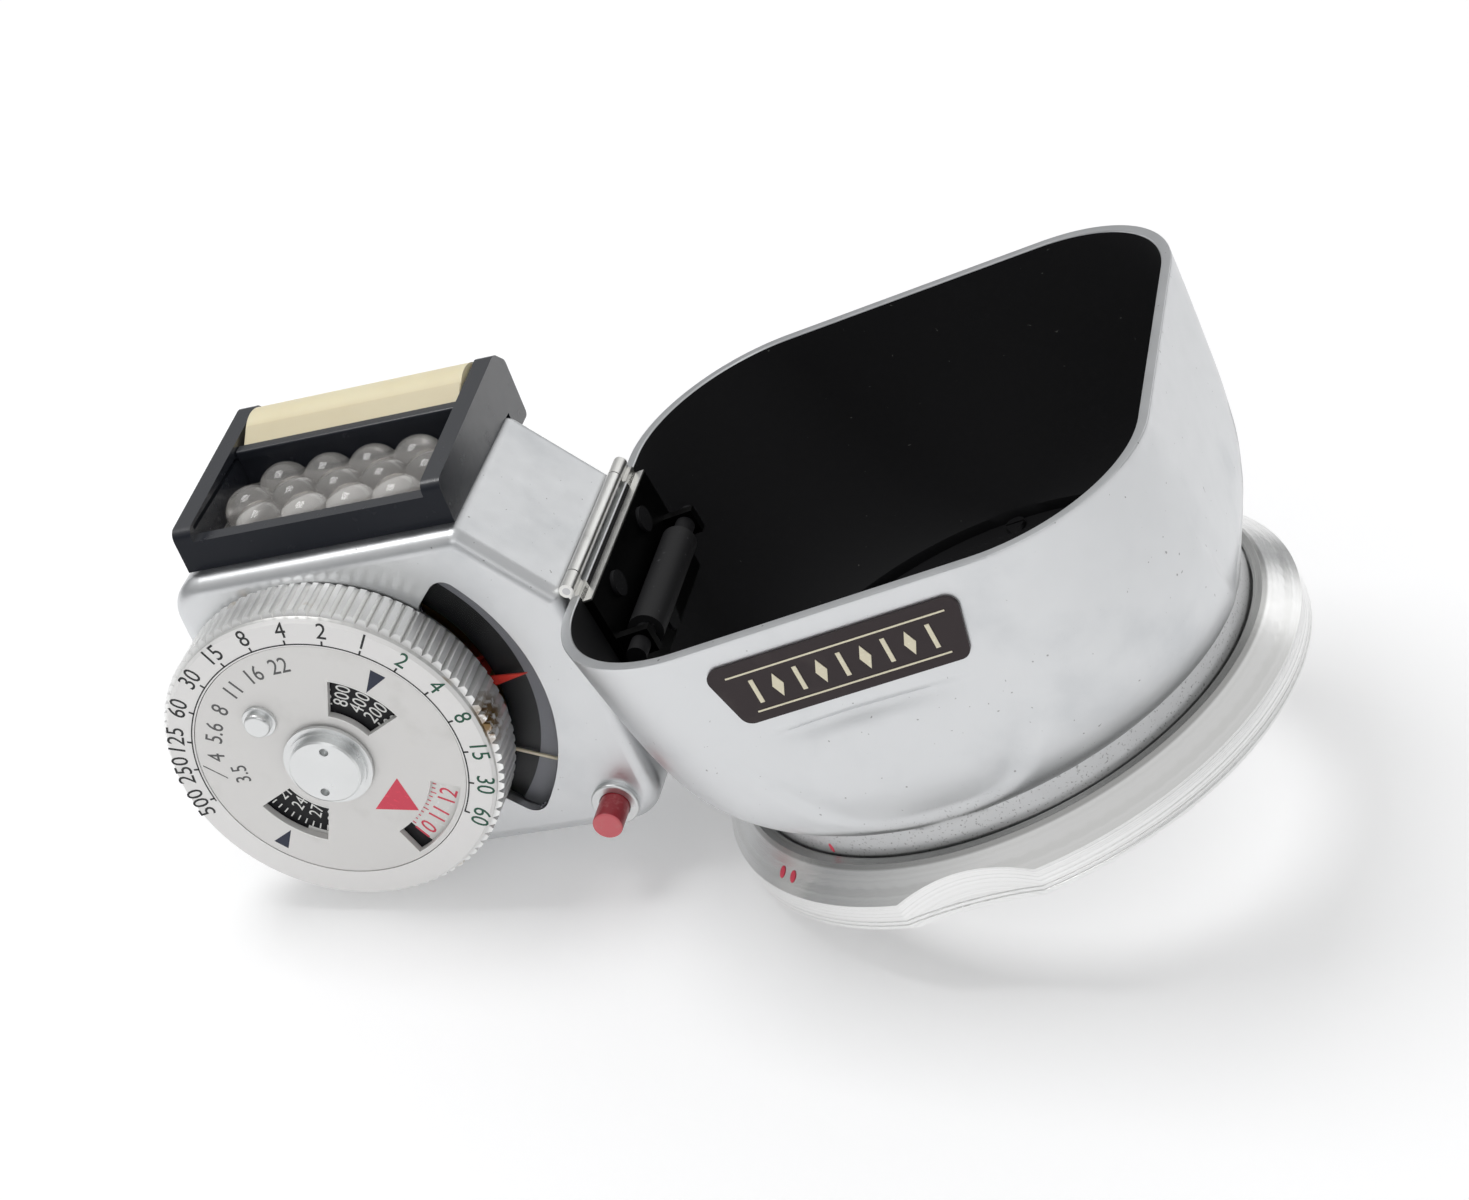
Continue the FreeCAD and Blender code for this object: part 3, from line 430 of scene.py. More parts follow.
    def grain(self, scale=9000, depth_mm=0.004, rough=(0.3, 0.45), dirt=None):
        """Fine surface grain, patchy gloss and, if asked, faint grime."""
        self.bump(self.noise(scale, 2.0), depth_mm)
        self.set_value("Roughness", self.noise(700, 4.0), *rough)
        if dirt:
            self.tint(self.span(self.noise(260, 6.0), 0.56, 0.74), dirt)


# ---------------------------------------------------------------- finishes

def satin_silver(name, darker_and_specked_below=None):
    """Fine-blasted satin plating; below the height given, it turns greyer towards the neck, with dark dust
    specks.
    """
    s = Surface(name, (0.69, 0.70, 0.71), metallic=1.0, roughness=0.38)
    s.grain(9000, 0.006, (0.30, 0.42))
    s.tint(s.span(s.noise(120, 5.0), 0.5, 0.8), (0.58, 0.595, 0.61))
    s.tint(s.span(s.noise(2600, 1.0), 0.76, 0.80), (0.36, 0.36, 0.36))
    if darker_and_specked_below:
        # the tone turns greyer towards the neck
        near_neck = s.span(s.along(LENS_AXIS), darker_and_specked_below, 6.0 * MM)
        s.tint(near_neck, (0.57, 0.575, 0.58))
        specks = s.span(s.noise(5200, 2.0), 0.60, 0.71)
        s.tint(s.both(near_neck, specks), (0.30, 0.30, 0.30))
    return s.material


def hood_black():
    """Matt black paint inside the hood with a few dust specks."""
    s = Surface("hood_black", (0.005, 0.005, 0.006), roughness=0.75, Specular_IOR_Level=0.25)
    s.bump(s.noise(5000, 3.0), 0.01)
    s.tint(s.span(s.noise(1500, 1.5), 0.76, 0.82), (0.11, 0.11, 0.10))
    return s.material


def turned_aluminium():
    """Bright ring with lathe lines round the lens axis and two fine grooves near its foot."""
    s = Surface("turned_aluminium", (0.92, 0.92, 0.915), metallic=1.0, roughness=0.3)
    height = s.along(LENS_AXIS)
    measure = s.math("ADD", s.radius(LENS_AXIS), height)
    s.bump(s.line_noise(measure, 20000, 3.0), 0.020)
    s.tint(s.span(s.line_noise(measure, 9000, 4.0), 0.45, 0.65), (0.86, 0.86, 0.85))
    for groove in (0.5 * MM, 0.85 * MM):
        away = s.math("ABSOLUTE", s.math("SUBTRACT", height, groove))
        s.bump(s.span(away, 0.0, 0.07 * MM), 0.05)
    s.set_value("Roughness", s.noise(500, 3.0), 0.17, 0.27)
    s.brushed_round(LENS_AXIS, amount=0.65)
    inner_lip = s.span(height, 3.95 * MM, 4.1 * MM)
    s.tint(inner_lip, (0.50, 0.50, 0.49))
    return s.material


def dial_silver():
    """Pale matt scale surface on a knurled metal ring, with brown grime on the ring and painted shade in
    the grooves between its teeth.
    """
    s = Surface("dial_silver", (0.83, 0.82, 0.81), metallic=0.3, roughness=0.5)
    radius = s.radius(DIAL_UP, DIAL_POS)
    height = s.along(DIAL_UP, DIAL_POS)
    top = dial_height("dial_ring") * MM
    below = s.span(height, top - 0.24 * MM, top - 0.30 * MM)
    s.tint(below, (0.95, 0.95, 0.94))
    s.set_value("Metallic", below, 0.25, 1.0)
    # painted shade: the knurl's grooves are darkened with grey, where shade falls
    groove_shade = s.both(below, s.span(radius, 12.85 * MM, 12.5 * MM))
    s.tint(s.both(groove_shade, 0.35), (0.36, 0.355, 0.34))
    worn = s.both(below, s.span(s.noise(230, 3.0), 0.60, 0.68))
    s.tint(s.both(worn, 0.7), (0.42, 0.30, 0.16))
    stain = s.blot(DIAL @ Vector((13.0, 0.6, top / MM - 1.5)), 2.6)
    s.tint(s.both(below, stain), (0.26, 0.17, 0.08))
    s.bump(s.noise(9000, 3.0), 0.006)
    s.set_value("Roughness", s.noise(800, 4.0), 0.38, 0.52)
    return s.material


def disc_silver():
    """Pale matt face of the inner disc."""
    s = Surface("disc_silver", (0.76, 0.75, 0.735), metallic=0.25, roughness=0.5)
    s.grain(12000, 0.003, (0.42, 0.55))
    s.tint(s.span(s.noise(300, 5.0), 0.55, 0.8), (0.69, 0.68, 0.66))
    return s.material


def turned_on_dial(name, colour, rough):
    """Lathe-turned metal whose marks run round the dial axis."""
    s = Surface(name, colour, metallic=1.0, roughness=rough)
    s.bump(s.line_noise(s.radius(DIAL_UP, DIAL_POS), 22000, 2.0), 0.004)
    s.set_value("Roughness", s.noise(900, 3.0), rough - 0.04, rough + 0.08)
    s.brushed_round(DIAL_UP, DIAL_POS, 0.5)
    return s.material


def plain_metal(name, colour, rough=0.35):
    """Machined metal with darker patches of handling."""
    s = Surface(name, colour, metallic=1.0, roughness=rough)
    s.grain(9000, 0.003, (rough - 0.08, rough + 0.1))
    dark = tuple(c * 0.72 for c in colour)
    s.tint(s.span(s.noise(420, 5.0), 0.55, 0.8), dark)
    return s.material


def black_lacquer():
    """Black frame: satin gloss with small specks; faces towards the dial side get a weaker reflection, a
    painted shade that makes them look darker.
    """
    s = Surface("black_lacquer", (0.018, 0.020, 0.026), roughness=0.24)
    s.bump(s.noise(3000, 2.0), 0.003)
    s.set_value("Roughness", s.noise(900, 4.0), 0.18, 0.32)
    s.tint(s.span(s.noise(3200, 2.0), 0.76, 0.82), (0.10, 0.10, 0.11))
    # painted shade: faces turned to the dial side reflect less, so they read darker
    s.set_value("Specular IOR Level", s.span(s.facing(DIAL_UP), 0.5, 0.95), 0.95, 0.12)
    return s.material


def dull_coat(name, colour, rough):
    """Dull painted or moulded surface with pale specks."""
    s = Surface(name, colour, roughness=rough, Specular_IOR_Level=0.22)
    s.bump(s.noise(7000, 3.0), 0.008)
    s.tint(s.span(s.noise(1900, 2.0), 0.7, 0.8), tuple(c * 4 + 0.02 for c in colour))
    return s.material


def clear_plastic(name, rough, tone):
    """Clear moulded plastic with faint flow marks."""
    s = Surface(name, tone, roughness=rough, Transmission_Weight=0.86, IOR=1.49)
    s.bump(s.noise(900, 2.0), 0.004)
    s.set_value("Roughness", s.noise(1500, 2.0), rough, rough + 0.05)
    return s.material


def window_sheet():
    """Thin clear cover over the scale, mostly see-through with a soft reflection."""
    s = Surface("window_sheet", (1, 1, 1), roughness=0.06, Transmission_Weight=1.0, IOR=1.1)
    s.bump(s.noise(1500, 3.0), 0.002)
    s.set_value("Roughness", s.noise(600, 3.0), 0.03, 0.10)
    return s.material


def opal_plastic():
    """Ivory diffuser: light passes a little way in; the side towards the dial is painted a darker tan, a
    painted shade.
    """
    s = Surface("opal_plastic", (0.85, 0.765, 0.53), roughness=0.38, Subsurface_Weight=0.15,
                Subsurface_Radius=(0.0016, 0.0012, 0.0007), Subsurface_Scale=1.0)
    # painted shade: faces turned to the dial side are tinted darker tan
    s.tint(s.span(s.facing(DIAL_UP), 0.25, 0.85), (0.55, 0.42, 0.20))
    s.tint(s.both(s.span(s.noise(160, 4.0), 0.45, 0.8), 0.4), (0.66, 0.53, 0.31))
    s.bump(s.noise(1800, 2.0), 0.004)
    return s.material


def red_plastic():
    """Button: deep red sides, a paler cap."""
    s = Surface("red_plastic", (0.34, 0.018, 0.03), roughness=0.32)
    top = dial_height("red_button") * MM
    height = s.along(DIAL_UP)
    s.tint(s.span(height, top - 0.16 * MM, top - 0.05 * MM), (0.66, 0.13, 0.15))
    s.tint(s.both(s.span(s.noise(1800, 4.0), 0.5, 0.75), 0.4), (0.6, 0.2, 0.2))
    s.bump(s.noise(5000, 2.0), 0.006)
    return s.material


def paint(name, colour, rough=0.5):
    """Thin printed or filled paint with a slightly uneven coat."""
    s = Surface(name, colour, roughness=rough)
    s.bump(s.noise(9000, 2.0), 0.004)
    thin = tuple(min(1, c * 1.35 + 0.01) for c in colour)
    s.tint(s.span(s.noise(4200, 3.0), 0.55, 0.85), thin)
    return s.material


def scale_black():
    """Scale plate: black inside, a grey band outside."""
    s = Surface("scale_black", (0.008, 0.008, 0.010), roughness=0.45)
    outer_band = s.span(s.radius(DIAL_UP, DIAL_POS), 14.25 * MM, 14.35 * MM)
    s.tint(outer_band, (0.25, 0.255, 0.28))
    s.bump(s.noise(6000, 2.0), 0.004)
    return s.material


def enamel_plate():
    """Dark brown-black enamel of the nameplate."""
    s = Surface("enamel_plate", (0.030, 0.020, 0.022), roughness=0.4, Specular_IOR_Level=0.3)
    s.grain(7000, 0.004, (0.36, 0.48), (0.045, 0.033, 0.033))
    return s.material


def hinge_bright():
    """Hinge leaf: bright where it shows at the rim, painted black inside the hood."""
    s = Surface("hinge_bright", (0.02, 0.02, 0.02), metallic=1.0, roughness=0.35)
    at_rim = s.span(s.along(LENS_AXIS), 25.3 * MM, 25.45 * MM)
    s.tint(at_rim, (0.80, 0.795, 0.77))
    s.bump(s.noise(9000, 2.0), 0.004)
    s.set_value("Roughness", s.noise(900, 3.0), 0.28, 0.45)
    return s.material


def selenium_surface():
    """Cell face: metallic grey film with a crystalline mottle."""
    s = Surface("selenium_surface", (0.34, 0.32, 0.30), metallic=0.6, roughness=0.4)
    s.tint(s.span(s.noise(1400, 5.0), 0.45, 0.7), (0.16, 0.14, 0.15))
    s.bump(s.noise(4000, 3.0), 0.006)
    return s.material


SATIN = satin_silver("satin_silver")
HOOD_SATIN = satin_silver("satin_hood", darker_and_specked_below=8.5 * MM)
BLACK_INSIDE = hood_black()
LACQUER = black_lacquer()
OPAL = opal_plastic()
INK = paint("ink_black", (0.012, 0.013, 0.014))
INK_GREY = paint("ink_grey", (0.10, 0.10, 0.10))
INK_GREEN = paint("ink_green", (0.006, 0.085, 0.045))
INK_NAVY = paint("ink_navy", (0.012, 0.018, 0.045))
INK_RED = paint("ink_red", (0.72, 0.055, 0.10))
INK_WHITE = paint("ink_white", (0.80, 0.80, 0.78))
CREAM = paint("cream_fill", (0.80, 0.74, 0.56))
HUB = turned_on_dial("hub_silver", (0.72, 0.73, 0.73), 0.28)
STEEL = plain_metal("plain_steel", (0.55, 0.55, 0.56))
BRASS = plain_metal("plain_brass", (0.70, 0.52, 0.24), 0.3)
MATT = dull_coat("matt_black", (0.006, 0.006, 0.007), 0.7)

# Each finish with the CAD nodes that wear it.
NODE_FINISHES = [
    (turned_aluminium(), ["bayonet_ring"]),
    (MATT, ["neck_tube", "ring_retainer", "cross_bar", "hood_leaf_rivets", "neck_screws"]),
    (dull_coat("sleeve_rubber", (0.012, 0.012, 0.013), 0.55), ["bar_sleeve"]),
    (STEEL, ["hinge_pin", "cover_screws", "movement_screws", "meter_leaf_screws", "idler_pin"]),
    (STEEL, ["dial_post", "coil_staff", "hairsprings", "button_spring", "friction_washer"]),
    (hinge_bright(), ["hood_hinge_leaf"]),
    (plain_metal("leaf_silver", (0.8, 0.8, 0.78), 0.3), ["meter_hinge_leaf"]),
    (enamel_plate(), ["nameplate"]),
    (SATIN, ["top_case", "back_cover"]),
    (LACQUER, ["cell_frame", "blind_bar"]),
    (clear_plastic("lens_clear", 0.10, (1.0, 0.975, 0.94)), ["honeycomb_lens"]),
    (selenium_surface(), ["selenium_cell"]),
    (BRASS, ["cell_contacts", "movement_plate", "idler_gear", "pointer_gear", "dial_spacer"]),
    (BRASS, ["drive_pinion", "bridges", "button_shelf"]),
    (dull_coat("roller_core", (0.25, 0.24, 0.2), 0.4), ["blind_roller"]),
    (OPAL, ["opal_blind"]),
    (window_sheet(), ["scale_window"]),
    (scale_black(), ["scale_plate"]),
    (paint("pointer_red", (0.78, 0.045, 0.03), 0.4), ["red_pointer"]),
    (paint("needle_cream", (0.78, 0.70, 0.52), 0.4), ["needle"]),
    (dull_coat("film_plate", (0.01, 0.01, 0.012), 0.4), ["film_speed_plate"]),
    (disc_silver(), ["speed_disc"]),
    (HUB, ["setting_pin", "hub_nut", "button_collar"]),
    (dial_silver(), ["dial_ring"]),
    (plain_metal("magnet_grey", (0.25, 0.25, 0.26), 0.45), ["magnet_core"]),
    (plain_metal("yoke_grey", (0.32, 0.32, 0.33), 0.45), ["yoke_ring"]),
    (plain_metal("coil_copper", (0.62, 0.28, 0.14), 0.4), ["moving_coil"]),
    (red_plastic(), ["red_button"]),
]
for material, names in NODE_FINISHES:
    for name in names:
        nodes[name].data.materials.clear()
        nodes[name].data.materials.append(material)


# ---------------------------------------------------------------- hood shell

QUARTERS = ((1, 1), (-1, 1), (-1, -1), (1, -1))   # signs of x and z, round the hood


def hood_section(y, inset):
    """Half width, half height and corner radius of the hood at a height."""
    step = min(1.0, max(0.0, (y - FLARE_Y) / (RIM_Y - FLARE_Y)))
    fullness = 1 - (1 - step) ** 6
    corner_most = NECK_R - SHORT_FLAT
    corner = corner_most - (corner_most - RIM_CORNER) * step ** 0.6
    half_w = NECK_R + (RIM_HALF_W - NECK_R) * fullness
    half_h = NECK_R + (RIM_HALF_H - NECK_R) * fullness
    return half_w - inset, half_h - inset, corner - inset


def hood_loop(half_w, half_h, corner):
    """Points round a rounded square, the same number whatever its shape."""

    def corner_point(quarter, degrees):
        sx, sz = QUARTERS[quarter % 4]
        a = math.radians(degrees)
        return Vector((sx * (half_w - corner) + corner * math.cos(a),
                       sz * (half_h - corner) + corner * math.sin(a)))

    points = []
    for quarter in range(4):
        for i in range(ARC_POINTS):
            points.append(corner_point(quarter, 90 * (quarter + i / ARC_POINTS)))
        start = corner_point(quarter, 90 * (quarter + 1))
        end = corner_point(quarter + 1, 90 * (quarter + 1))
        for i in range(SIDE_POINTS):
            points.append(start.lerp(end, i / SIDE_POINTS))
    return points


def fold_depth(x, y):
    """Shallow fold pressed into the wall below the nameplate, deepest left of its middle."""
    share = x / FOLD_HALF
    if abs(share) >= 1:
        return 0.0
    taper = (1 - share ** 2) ** 1.1 * (1 - 0.3 * share)
    centre = FOLD_Y - 0.25 * share ** 2
    width = 0.16 if y > centre else 1.1
    return FOLD_DEPTH * taper * math.exp(-((y - centre) / width) ** 2)


def press_depth(across, y):
    """Soft line where each flat wall ends in a curve above the neck."""
    share = abs(across) / PRESS_HALF
    if share > 1:
        return 0.0
    centre = PRESS_Y + PRESS_RISE * (abs(across) / 13.0) ** 3
    fade = (1 - share ** 4) * min(1.0, max(0.0, (PRESS_TOP - y) / 8.0))
    width = 0.8 if y < centre else 2.2
    return PRESS_DEPTH * fade * math.exp(-((y - centre) / width) ** 2)


def press_outside(x, y, z):
    """Moves a point of the outer wall in by the pressed lines."""
    if y > FLARE_Y and abs(z) > abs(x):
        z -= math.copysign(press_depth(x, y), z)
    elif y > FLARE_Y:
        x -= math.copysign(press_depth(z, y), x)
    if z > 15 and 14 < y < 21:
        z -= fold_depth(x, y)
    return x, y, z


def hood_outline():
    """Rows of the wall's closed outline: height, inset and section; outer wall, mouth, inner wall."""
    top = RIM_Y - RIM_ROUND
    collar_rows = [NECK_FOOT, NECK_FOOT + 0.1, LEDGE_Y[0], LEDGE_Y[1], 6.0]
    wall_rows = [FLARE_Y + (top - FLARE_Y) * (i / WALL_ROWS) ** ROW_CROWDING for i in range(WALL_ROWS + 1)]
    outer = [(y, 0.0, hood_section(y, 0.0)) for y in collar_rows + wall_rows]
    for angle in (30, 60, 90, 120, 150):
        a = math.radians(angle)
        inset = RIM_ROUND * (1 - math.cos(a))
        if angle == 90:
            inset = WALL / 2
        elif angle > 90:
            inset += WALL - 2 * RIM_ROUND
        outer.append((top + RIM_ROUND * math.sin(a), inset, hood_section(RIM_Y, inset)))
    inner = [(y, WALL, hood_section(y, WALL)) for y in reversed(wall_rows)]
    inner.append((LEDGE_Y[1], WALL, hood_section(LEDGE_Y[1], WALL)))
    for radius, y in ((LEDGE_R, LEDGE_Y[1]), (LEDGE_R, LEDGE_Y[0]),
                      (SKIRT_R, LEDGE_Y[0]), (SKIRT_R, NECK_FOOT)):
        inner.append((y, 0.0, (radius, radius, radius - SHORT_FLAT)))
    return outer, inner


def build_hood():
    """Pressed shell: silver outside, black inside, with the pressed lines the CAD shell leaves out."""
    outer, inner = hood_outline()
    bm = bmesh.new()
    rings = []
    for y, inset, section in outer + inner:
        ring = []
        for x, z in hood_loop(*section):
            point = press_outside(x, y, z) if inset == 0.0 else (x, y, z)
            ring.append(bm.verts.new(HOOD @ Vector(point)))
        rings.append(ring)
    for k, below in enumerate(rings):
        above = rings[(k + 1) % len(rings)]
        black = len(outer) <= k < len(rings) - 2
        for i in range(len(below)):
            j = (i + 1) % len(below)
            face = bm.faces.new((below[i], below[j], above[j], above[i]))
            face.material_index = 1 if black else 0
    bmesh.ops.recalc_face_normals(bm, faces=bm.faces)
    mesh = bpy.data.meshes.new("hood_skin")
    bm.to_mesh(mesh)
    bm.free()
    mesh.materials.append(HOOD_SATIN)
    mesh.materials.append(BLACK_INSIDE)
    piece = finish_piece("hood_skin", mesh, "hood", HOOD_SATIN, 40)
    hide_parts("hood_shell")


build_hood()


# ---------------------------------------------------------------- marks on hood and ring

def add_dome(bm, place, rx, ry, rise, steps=24, layers=4):
    """Low rounded dome over an ellipse, closed underneath."""
    rings = []
    for k in range(layers):
        a = math.radians(90 * k / layers)
        ring = []
        for i in range(steps):
            b = 2 * math.pi * i / steps
            point = (rx * math.cos(a) * math.cos(b), ry * math.cos(a) * math.sin(b), rise * math.sin(a))
            ring.append(bm.verts.new(place @ Vector(point)))
        rings.append(ring)
    top = bm.verts.new(place @ Vector((0, 0, rise)))
    for low, high in zip(rings, rings[1:]):
        for i in range(steps):
            j = (i + 1) % steps
            bm.faces.new((low[i], low[j], high[j], high[i]))
    for i in range(steps):
        bm.faces.new((rings[-1][i], rings[-1][(i + 1) % steps], top))
    bm.faces.new(list(reversed(rings[0])))


def on_revolved(radius, y, angle, slope, spin=0.0):
    """Placement on a surface of revolution about the lens axis; slope tips it forward."""
    a = math.radians(angle)
    outward = Vector((math.cos(a), 0, math.sin(a)))
    forward = Vector((0, 1, 0))
    s = math.radians(slope)
    normal = outward * math.cos(s) + forward * math.sin(s)
    around = forward.cross(outward)
    third = normal.cross(around)
    local = Matrix((around, third, normal)).transposed().to_4x4()
    local.translation = outward * radius + forward * y
    return HOOD @ local @ Matrix.Rotation(math.radians(spin), 4, "Z")


def ring_dots():
    """Two red alignment dots on the bayonet ring's chamfer."""
    bm = bmesh.new()
    for angle in RING_DOTS_AT:
        add_dome(bm, on_revolved(22.08, 3.20, angle, 47.0), 0.30, 0.46, 0.07)
    bmesh_piece("ring_dots", bm, "bayonet", INK_RED)


def neck_mark():
    """Red index line on the hood's neck."""
    bm = bmesh.new()
    add_dome(bm, on_revolved(19.98, 4.9, NECK_MARK_AT, 0.0, 90), 0.45, 0.2, 0.08)
    bmesh_piece("neck_mark", bm, "hood", INK_RED)


def plate_motif():
    """Plain pattern on the nameplate: two border lines and a row of lozenges between bars."""
    top = -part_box("nameplate")[0].y / MM
    low = MOTIF_Y - MOTIF_HALF_H
    high = MOTIF_Y + MOTIF_HALF_H
    bm = bmesh.new()
    for i in range(MOTIF_COUNT):
        x = (i - (MOTIF_COUNT - 1) / 2) * MOTIF_PITCH
        outline = [(x - 0.16, low), (x + 0.16, low), (x + 0.16, high), (x - 0.16, high)]
        if i % 2:
            outline = [(x - 0.42, MOTIF_Y), (x, low), (x + 0.42, MOTIF_Y), (x, high)]
        add_prism(bm, outline, top - 0.01, top + 0.05, HOOD)
    for side in (-1, 1):
        y = MOTIF_Y + side * MOTIF_LINE_OFF
        half = MOTIF_LINE + side * 0.45
        outline = [(-half, y - 0.06), (half, y - 0.06), (half, y + 0.06), (-half, y + 0.06)]
        add_prism(bm, outline, top - 0.01, top + 0.04, HOOD)
    bmesh_piece("plate_motif", bm, "hood", CREAM)


ring_dots()
neck_mark()
plate_motif()


# ---------------------------------------------------------------- dial print

DIAL_TOP = dial_height("dial_ring")
DISC_TOP = dial_height("speed_disc")
PLATE_TOP = dial_height("film_speed_plate")


def shutter_scale():
    """Shutter times on the knurled ring: fractions in black, whole seconds in green."""
    black = bmesh.new()
    green = bmesh.new()
    height = DIAL_TOP + INK_LIFT
    times = []
    for i, text in enumerate(LEFT_TIMES):
        shift = CROWDED_SHIFT if i >= CROWDED_FROM else 0
        times.append((black, text, FIRST + i * STEP - shift))
    for i, text in enumerate(RIGHT_TIMES):
        times.append((green, text, FIRST - (i + 1) * STEP))
    for ink, text, angle in times:
        add_text(ink, text, NUMERAL, dial_place(NUMERAL_R, angle, height, angle - 90))
        add_ink(black, radial_mark(LINE_R - 0.05, *TICK, angle), height)
    first = FIRST - len(RIGHT_TIMES) * STEP
    last = FIRST + (len(LEFT_TIMES) - 1) * STEP
    add_ink(black, arc_band(LINE_R - 0.07, LINE_R + 0.03, first, last), height)
    bmesh_piece("shutter_numerals", black, "dial", INK)
    bmesh_piece("long_time_numerals", green, "dial", INK_GREEN)


def stop_scale():
    """Grey f-numbers on the inner disc; the widest sits inside the row, with a line to its place."""
    grey = bmesh.new()
    height = DISC_TOP + INK_LIFT
    for i, text in enumerate(STOPS):
        angle = STOP_FIRST + STOP_STEP * i
        add_text(grey, text, 1.9, dial_place(STOP_R, angle, height, angle - 90), squeeze=0.84)
    add_text(grey, "3.5", 1.75, dial_place(7.3, 178.5, height, 88.0), squeeze=0.78)
    add_ink(grey, [polar(*place) for place in STOP_LEADER], height)
    bmesh_piece("stop_numerals", grey, "speed", INK_GREY)


def disc_pointers():
    """Two navy triangles for the film-speed windows, one red for the light-value window."""
    height = DISC_TOP + INK_LIFT
    navy = bmesh.new()
    for corners in SPEED_POINTERS:
        add_ink(navy, [polar(*place) for place in corners], height)
    bmesh_piece("speed_pointers", navy, "speed", INK_NAVY)
    red = bmesh.new()
    add_ink(red, [polar(*place) for place in VALUE_POINTER], height)
    bmesh_piece("value_pointer", red, "speed", INK_RED)


def window_rims():
    """Thin white edge lines round the two film-speed windows."""
    rim = bmesh.new()
    height = DISC_TOP + 0.004
    for inner, outer, first, last in SPEED_WINDOWS:
        add_ink(rim, arc_band(outer, outer + 0.1, first, last), height)
        add_ink(rim, arc_band(inner - 0.1, inner, first, last), height)
    bmesh_piece("window_rims", rim, "speed", INK_WHITE)


def film_speeds(height):
    """Two white scales of film speed; every third grade has its figure."""
    white = bmesh.new()
    for i, text in enumerate(SPEEDS):
        angle = SPEED_FIRST - SPEED_STEP * i
        add_text(white, text, 1.6, dial_place(SPEED_R, angle, height, angle), squeeze=0.80)
    for grade in GRADES:
        angle = GRADE_AT - GRADE_STEP * (30 - grade)
        add_ink(white, radial_mark(6.75, 0.5, 0.10, angle), height)
        if grade % 3 == 0:
            add_text(white, str(grade), 1.4, dial_place(GRADE_R, angle, height, angle + 180), squeeze=0.8)
    bmesh_piece("film_speeds", white, "meter", INK_WHITE)


def light_values(height):
    """Red light values with ticks on two white patches."""
    patch = bmesh.new()
    for first, last in VALUE_PATCHES:
        add_prism(patch, arc_band(*PATCH_R, first, last), height - 0.01, height + 0.005, DIAL)
    bmesh_piece("value_patch", patch, "meter", INK_WHITE)
    red = bmesh.new()
    for value in VALUES:
        angle = VALUE_AT + VALUE_STEP * (value - 10)
        add_text(red, str(value), 1.95, dial_place(VALUE_R, angle, height + 0.01, angle + 90), squeeze=0.8)
    for i in range(-21, 33):
        angle = VALUE_AT - 1.0 + VALUE_TICK_STEP * i
        if any(first <= angle <= last for first, last in VALUE_PATCHES):
            length = 0.45 if i % 4 == 0 else 0.28
            add_prism(red, radial_mark(7.65, length, 0.09, angle), height, height + 0.015, DIAL)
    bmesh_piece("value_numerals", red, "meter", INK_RED)


shutter_scale()
stop_scale()
disc_pointers()
window_rims()
film_speeds(PLATE_TOP + INK_LIFT)
light_values(PLATE_TOP + INK_LIFT)


# ---------------------------------------------------------------- diffusing film

def blind_film():
    """Opal film from the top of the roller to the pull bar."""
    roller = Vector(joints["roller_turn"]["pos_m"])
    pull = Vector(joints["blind_pull"]["axis"])
    forward = DIAL_UP.cross(METER_X)
    bar_low, bar_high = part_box("blind_bar")
    bar_rear = min(bar_low.dot(pull), bar_high.dot(pull))
    to_bar = bar_rear - roller.dot(pull)
    start = roller + forward * FILM_START[0] * MM + pull * FILM_START[1] * MM
    end = roller + forward * FILM_END[0] * MM + pull * (to_bar + FILM_END[1] * MM)
    lift = forward * FILM_HALF_THICK * MM
    bm = bmesh.new()
    grid = []
    for k in range(FILM_ROWS + 1):
        # rows crowd at both ends
        share = 0.5 - math.sin(math.asin(1 - 2 * k / FILM_ROWS) / 3)
        centre = start.lerp(end, share)
        row = []
        for i in range(FILM_COLUMNS + 1):
            middle = centre + METER_X * FILM_HALF * MM * (2 * i / FILM_COLUMNS - 1)
            row.append((bm.verts.new(middle + lift), bm.verts.new(middle - lift)))
        grid.append(row)
    for k in range(FILM_ROWS):
        for i in range(FILM_COLUMNS):
            corners = (grid[k][i], grid[k][i + 1], grid[k + 1][i + 1], grid[k + 1][i])
            for side in (0, 1):
                bm.faces.new([pair[side] for pair in corners])
        for i in (0, FILM_COLUMNS):
            bm.faces.new((grid[k][i][0], grid[k + 1][i][0], grid[k + 1][i][1], grid[k][i][1]))
    for i in range(FILM_COLUMNS):
        for k in (0, FILM_ROWS):
            bm.faces.new((grid[k][i][0], grid[k][i + 1][0], grid[k][i + 1][1], grid[k][i][1]))
    piece = bmesh_piece("blind_film", bm, None, OPAL)
    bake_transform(piece)


blind_film()


# ---------------------------------------------------------------- stage, light and camera

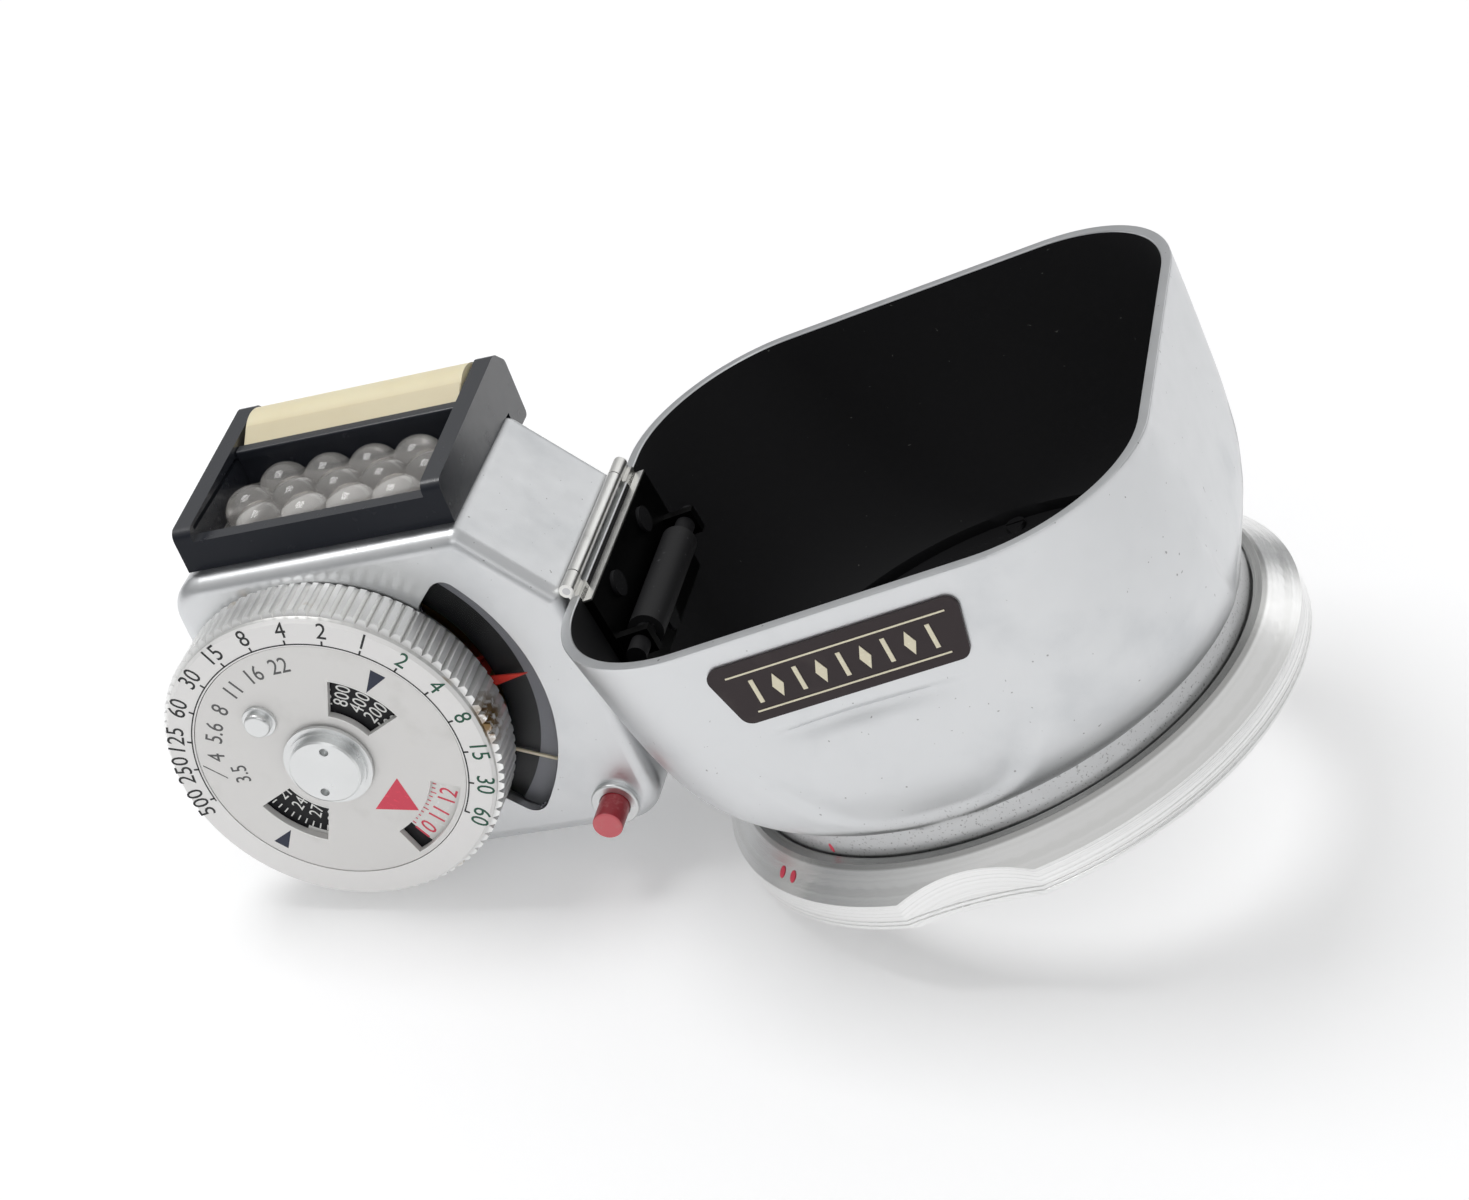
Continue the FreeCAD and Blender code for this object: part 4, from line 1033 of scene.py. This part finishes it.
def stage():
    """Pale paper floor just below the object, with a slight glow of its own."""
    floor_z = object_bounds()[0][2]
    bpy.ops.mesh.primitive_plane_add(size=FLOOR_SIZE, location=(0, 0, floor_z - FLOOR_GAP))
    floor = bpy.context.object
    floor.name = "floor"
    s = Surface("paper_floor", (0.90, 0.90, 0.905), roughness=0.6)
    s.bump(s.noise(900, 3.0), 0.004)
    s.bsdf.inputs["Emission Color"].default_value = (1, 1, 1, 1)
    s.bsdf.inputs["Emission Strength"].default_value = FLOOR_GLOW
    floor.data.materials.append(s.material)
    floor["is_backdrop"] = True


def area_light(name, position, target, size, power):
    """White soft box that looks at its target."""
    data = bpy.data.lights.new(name, "AREA")
    data.shape = "RECTANGLE"
    data.size, data.size_y = size
    data.energy = power
    lamp = bpy.data.objects.new(name, data)
    lamp.location = position
    direction = Vector(target) - Vector(position)
    lamp.rotation_euler = direction.to_track_quat("-Z", "Y").to_euler()
    bpy.context.scene.collection.objects.link(lamp)


def lighting():
    """Studio that brightens overhead, and three soft boxes."""
    world = bpy.data.worlds.new("studio")
    world.use_nodes = True
    tree = world.node_tree
    background = tree.nodes["Background"]
    coords = tree.nodes.new("ShaderNodeTexCoord")
    split = tree.nodes.new("ShaderNodeSeparateXYZ")
    ramp = tree.nodes.new("ShaderNodeValToRGB")
    ramp.color_ramp.elements[0].color = (0.30, 0.31, 0.32, 1)
    ramp.color_ramp.elements[1].color = (1.0, 1.0, 1.0, 1)
    ramp.color_ramp.elements[1].position = 0.75
    tree.links.new(coords.outputs["Generated"], split.inputs[0])
    tree.links.new(split.outputs["Z"], ramp.inputs["Fac"])
    tree.links.new(ramp.outputs["Color"], background.inputs["Color"])
    background.inputs["Strength"].default_value = WORLD_STRENGTH
    bpy.context.scene.world = world
    for light in LIGHTS:
        area_light(*light)


def camera():
    """Camera at the photograph's angle, rolled about its own axis."""
    az = math.radians(AZIMUTH)
    el = math.radians(ELEVATION)
    back = Vector((math.sin(az) * math.cos(el), -math.cos(az) * math.cos(el), math.sin(el)))
    right = Vector((math.cos(az), math.sin(az), 0))
    up = back.cross(right)
    turn = Matrix((right, up, back)).transposed() @ Matrix.Rotation(math.radians(-ROLL), 3, "Z")
    data = bpy.data.cameras.new("camera")
    data.lens = LENS
    data.sensor_width = SENSOR
    data.clip_start = 0.01
    made = bpy.data.objects.new("camera", data)
    made.matrix_world = Matrix.Translation(CAMERA_AT) @ turn.to_4x4()
    bpy.context.scene.collection.objects.link(made)
    bpy.context.scene.camera = made


stage()
lighting()
camera()
bpy.context.scene.view_settings.view_transform = "Standard"
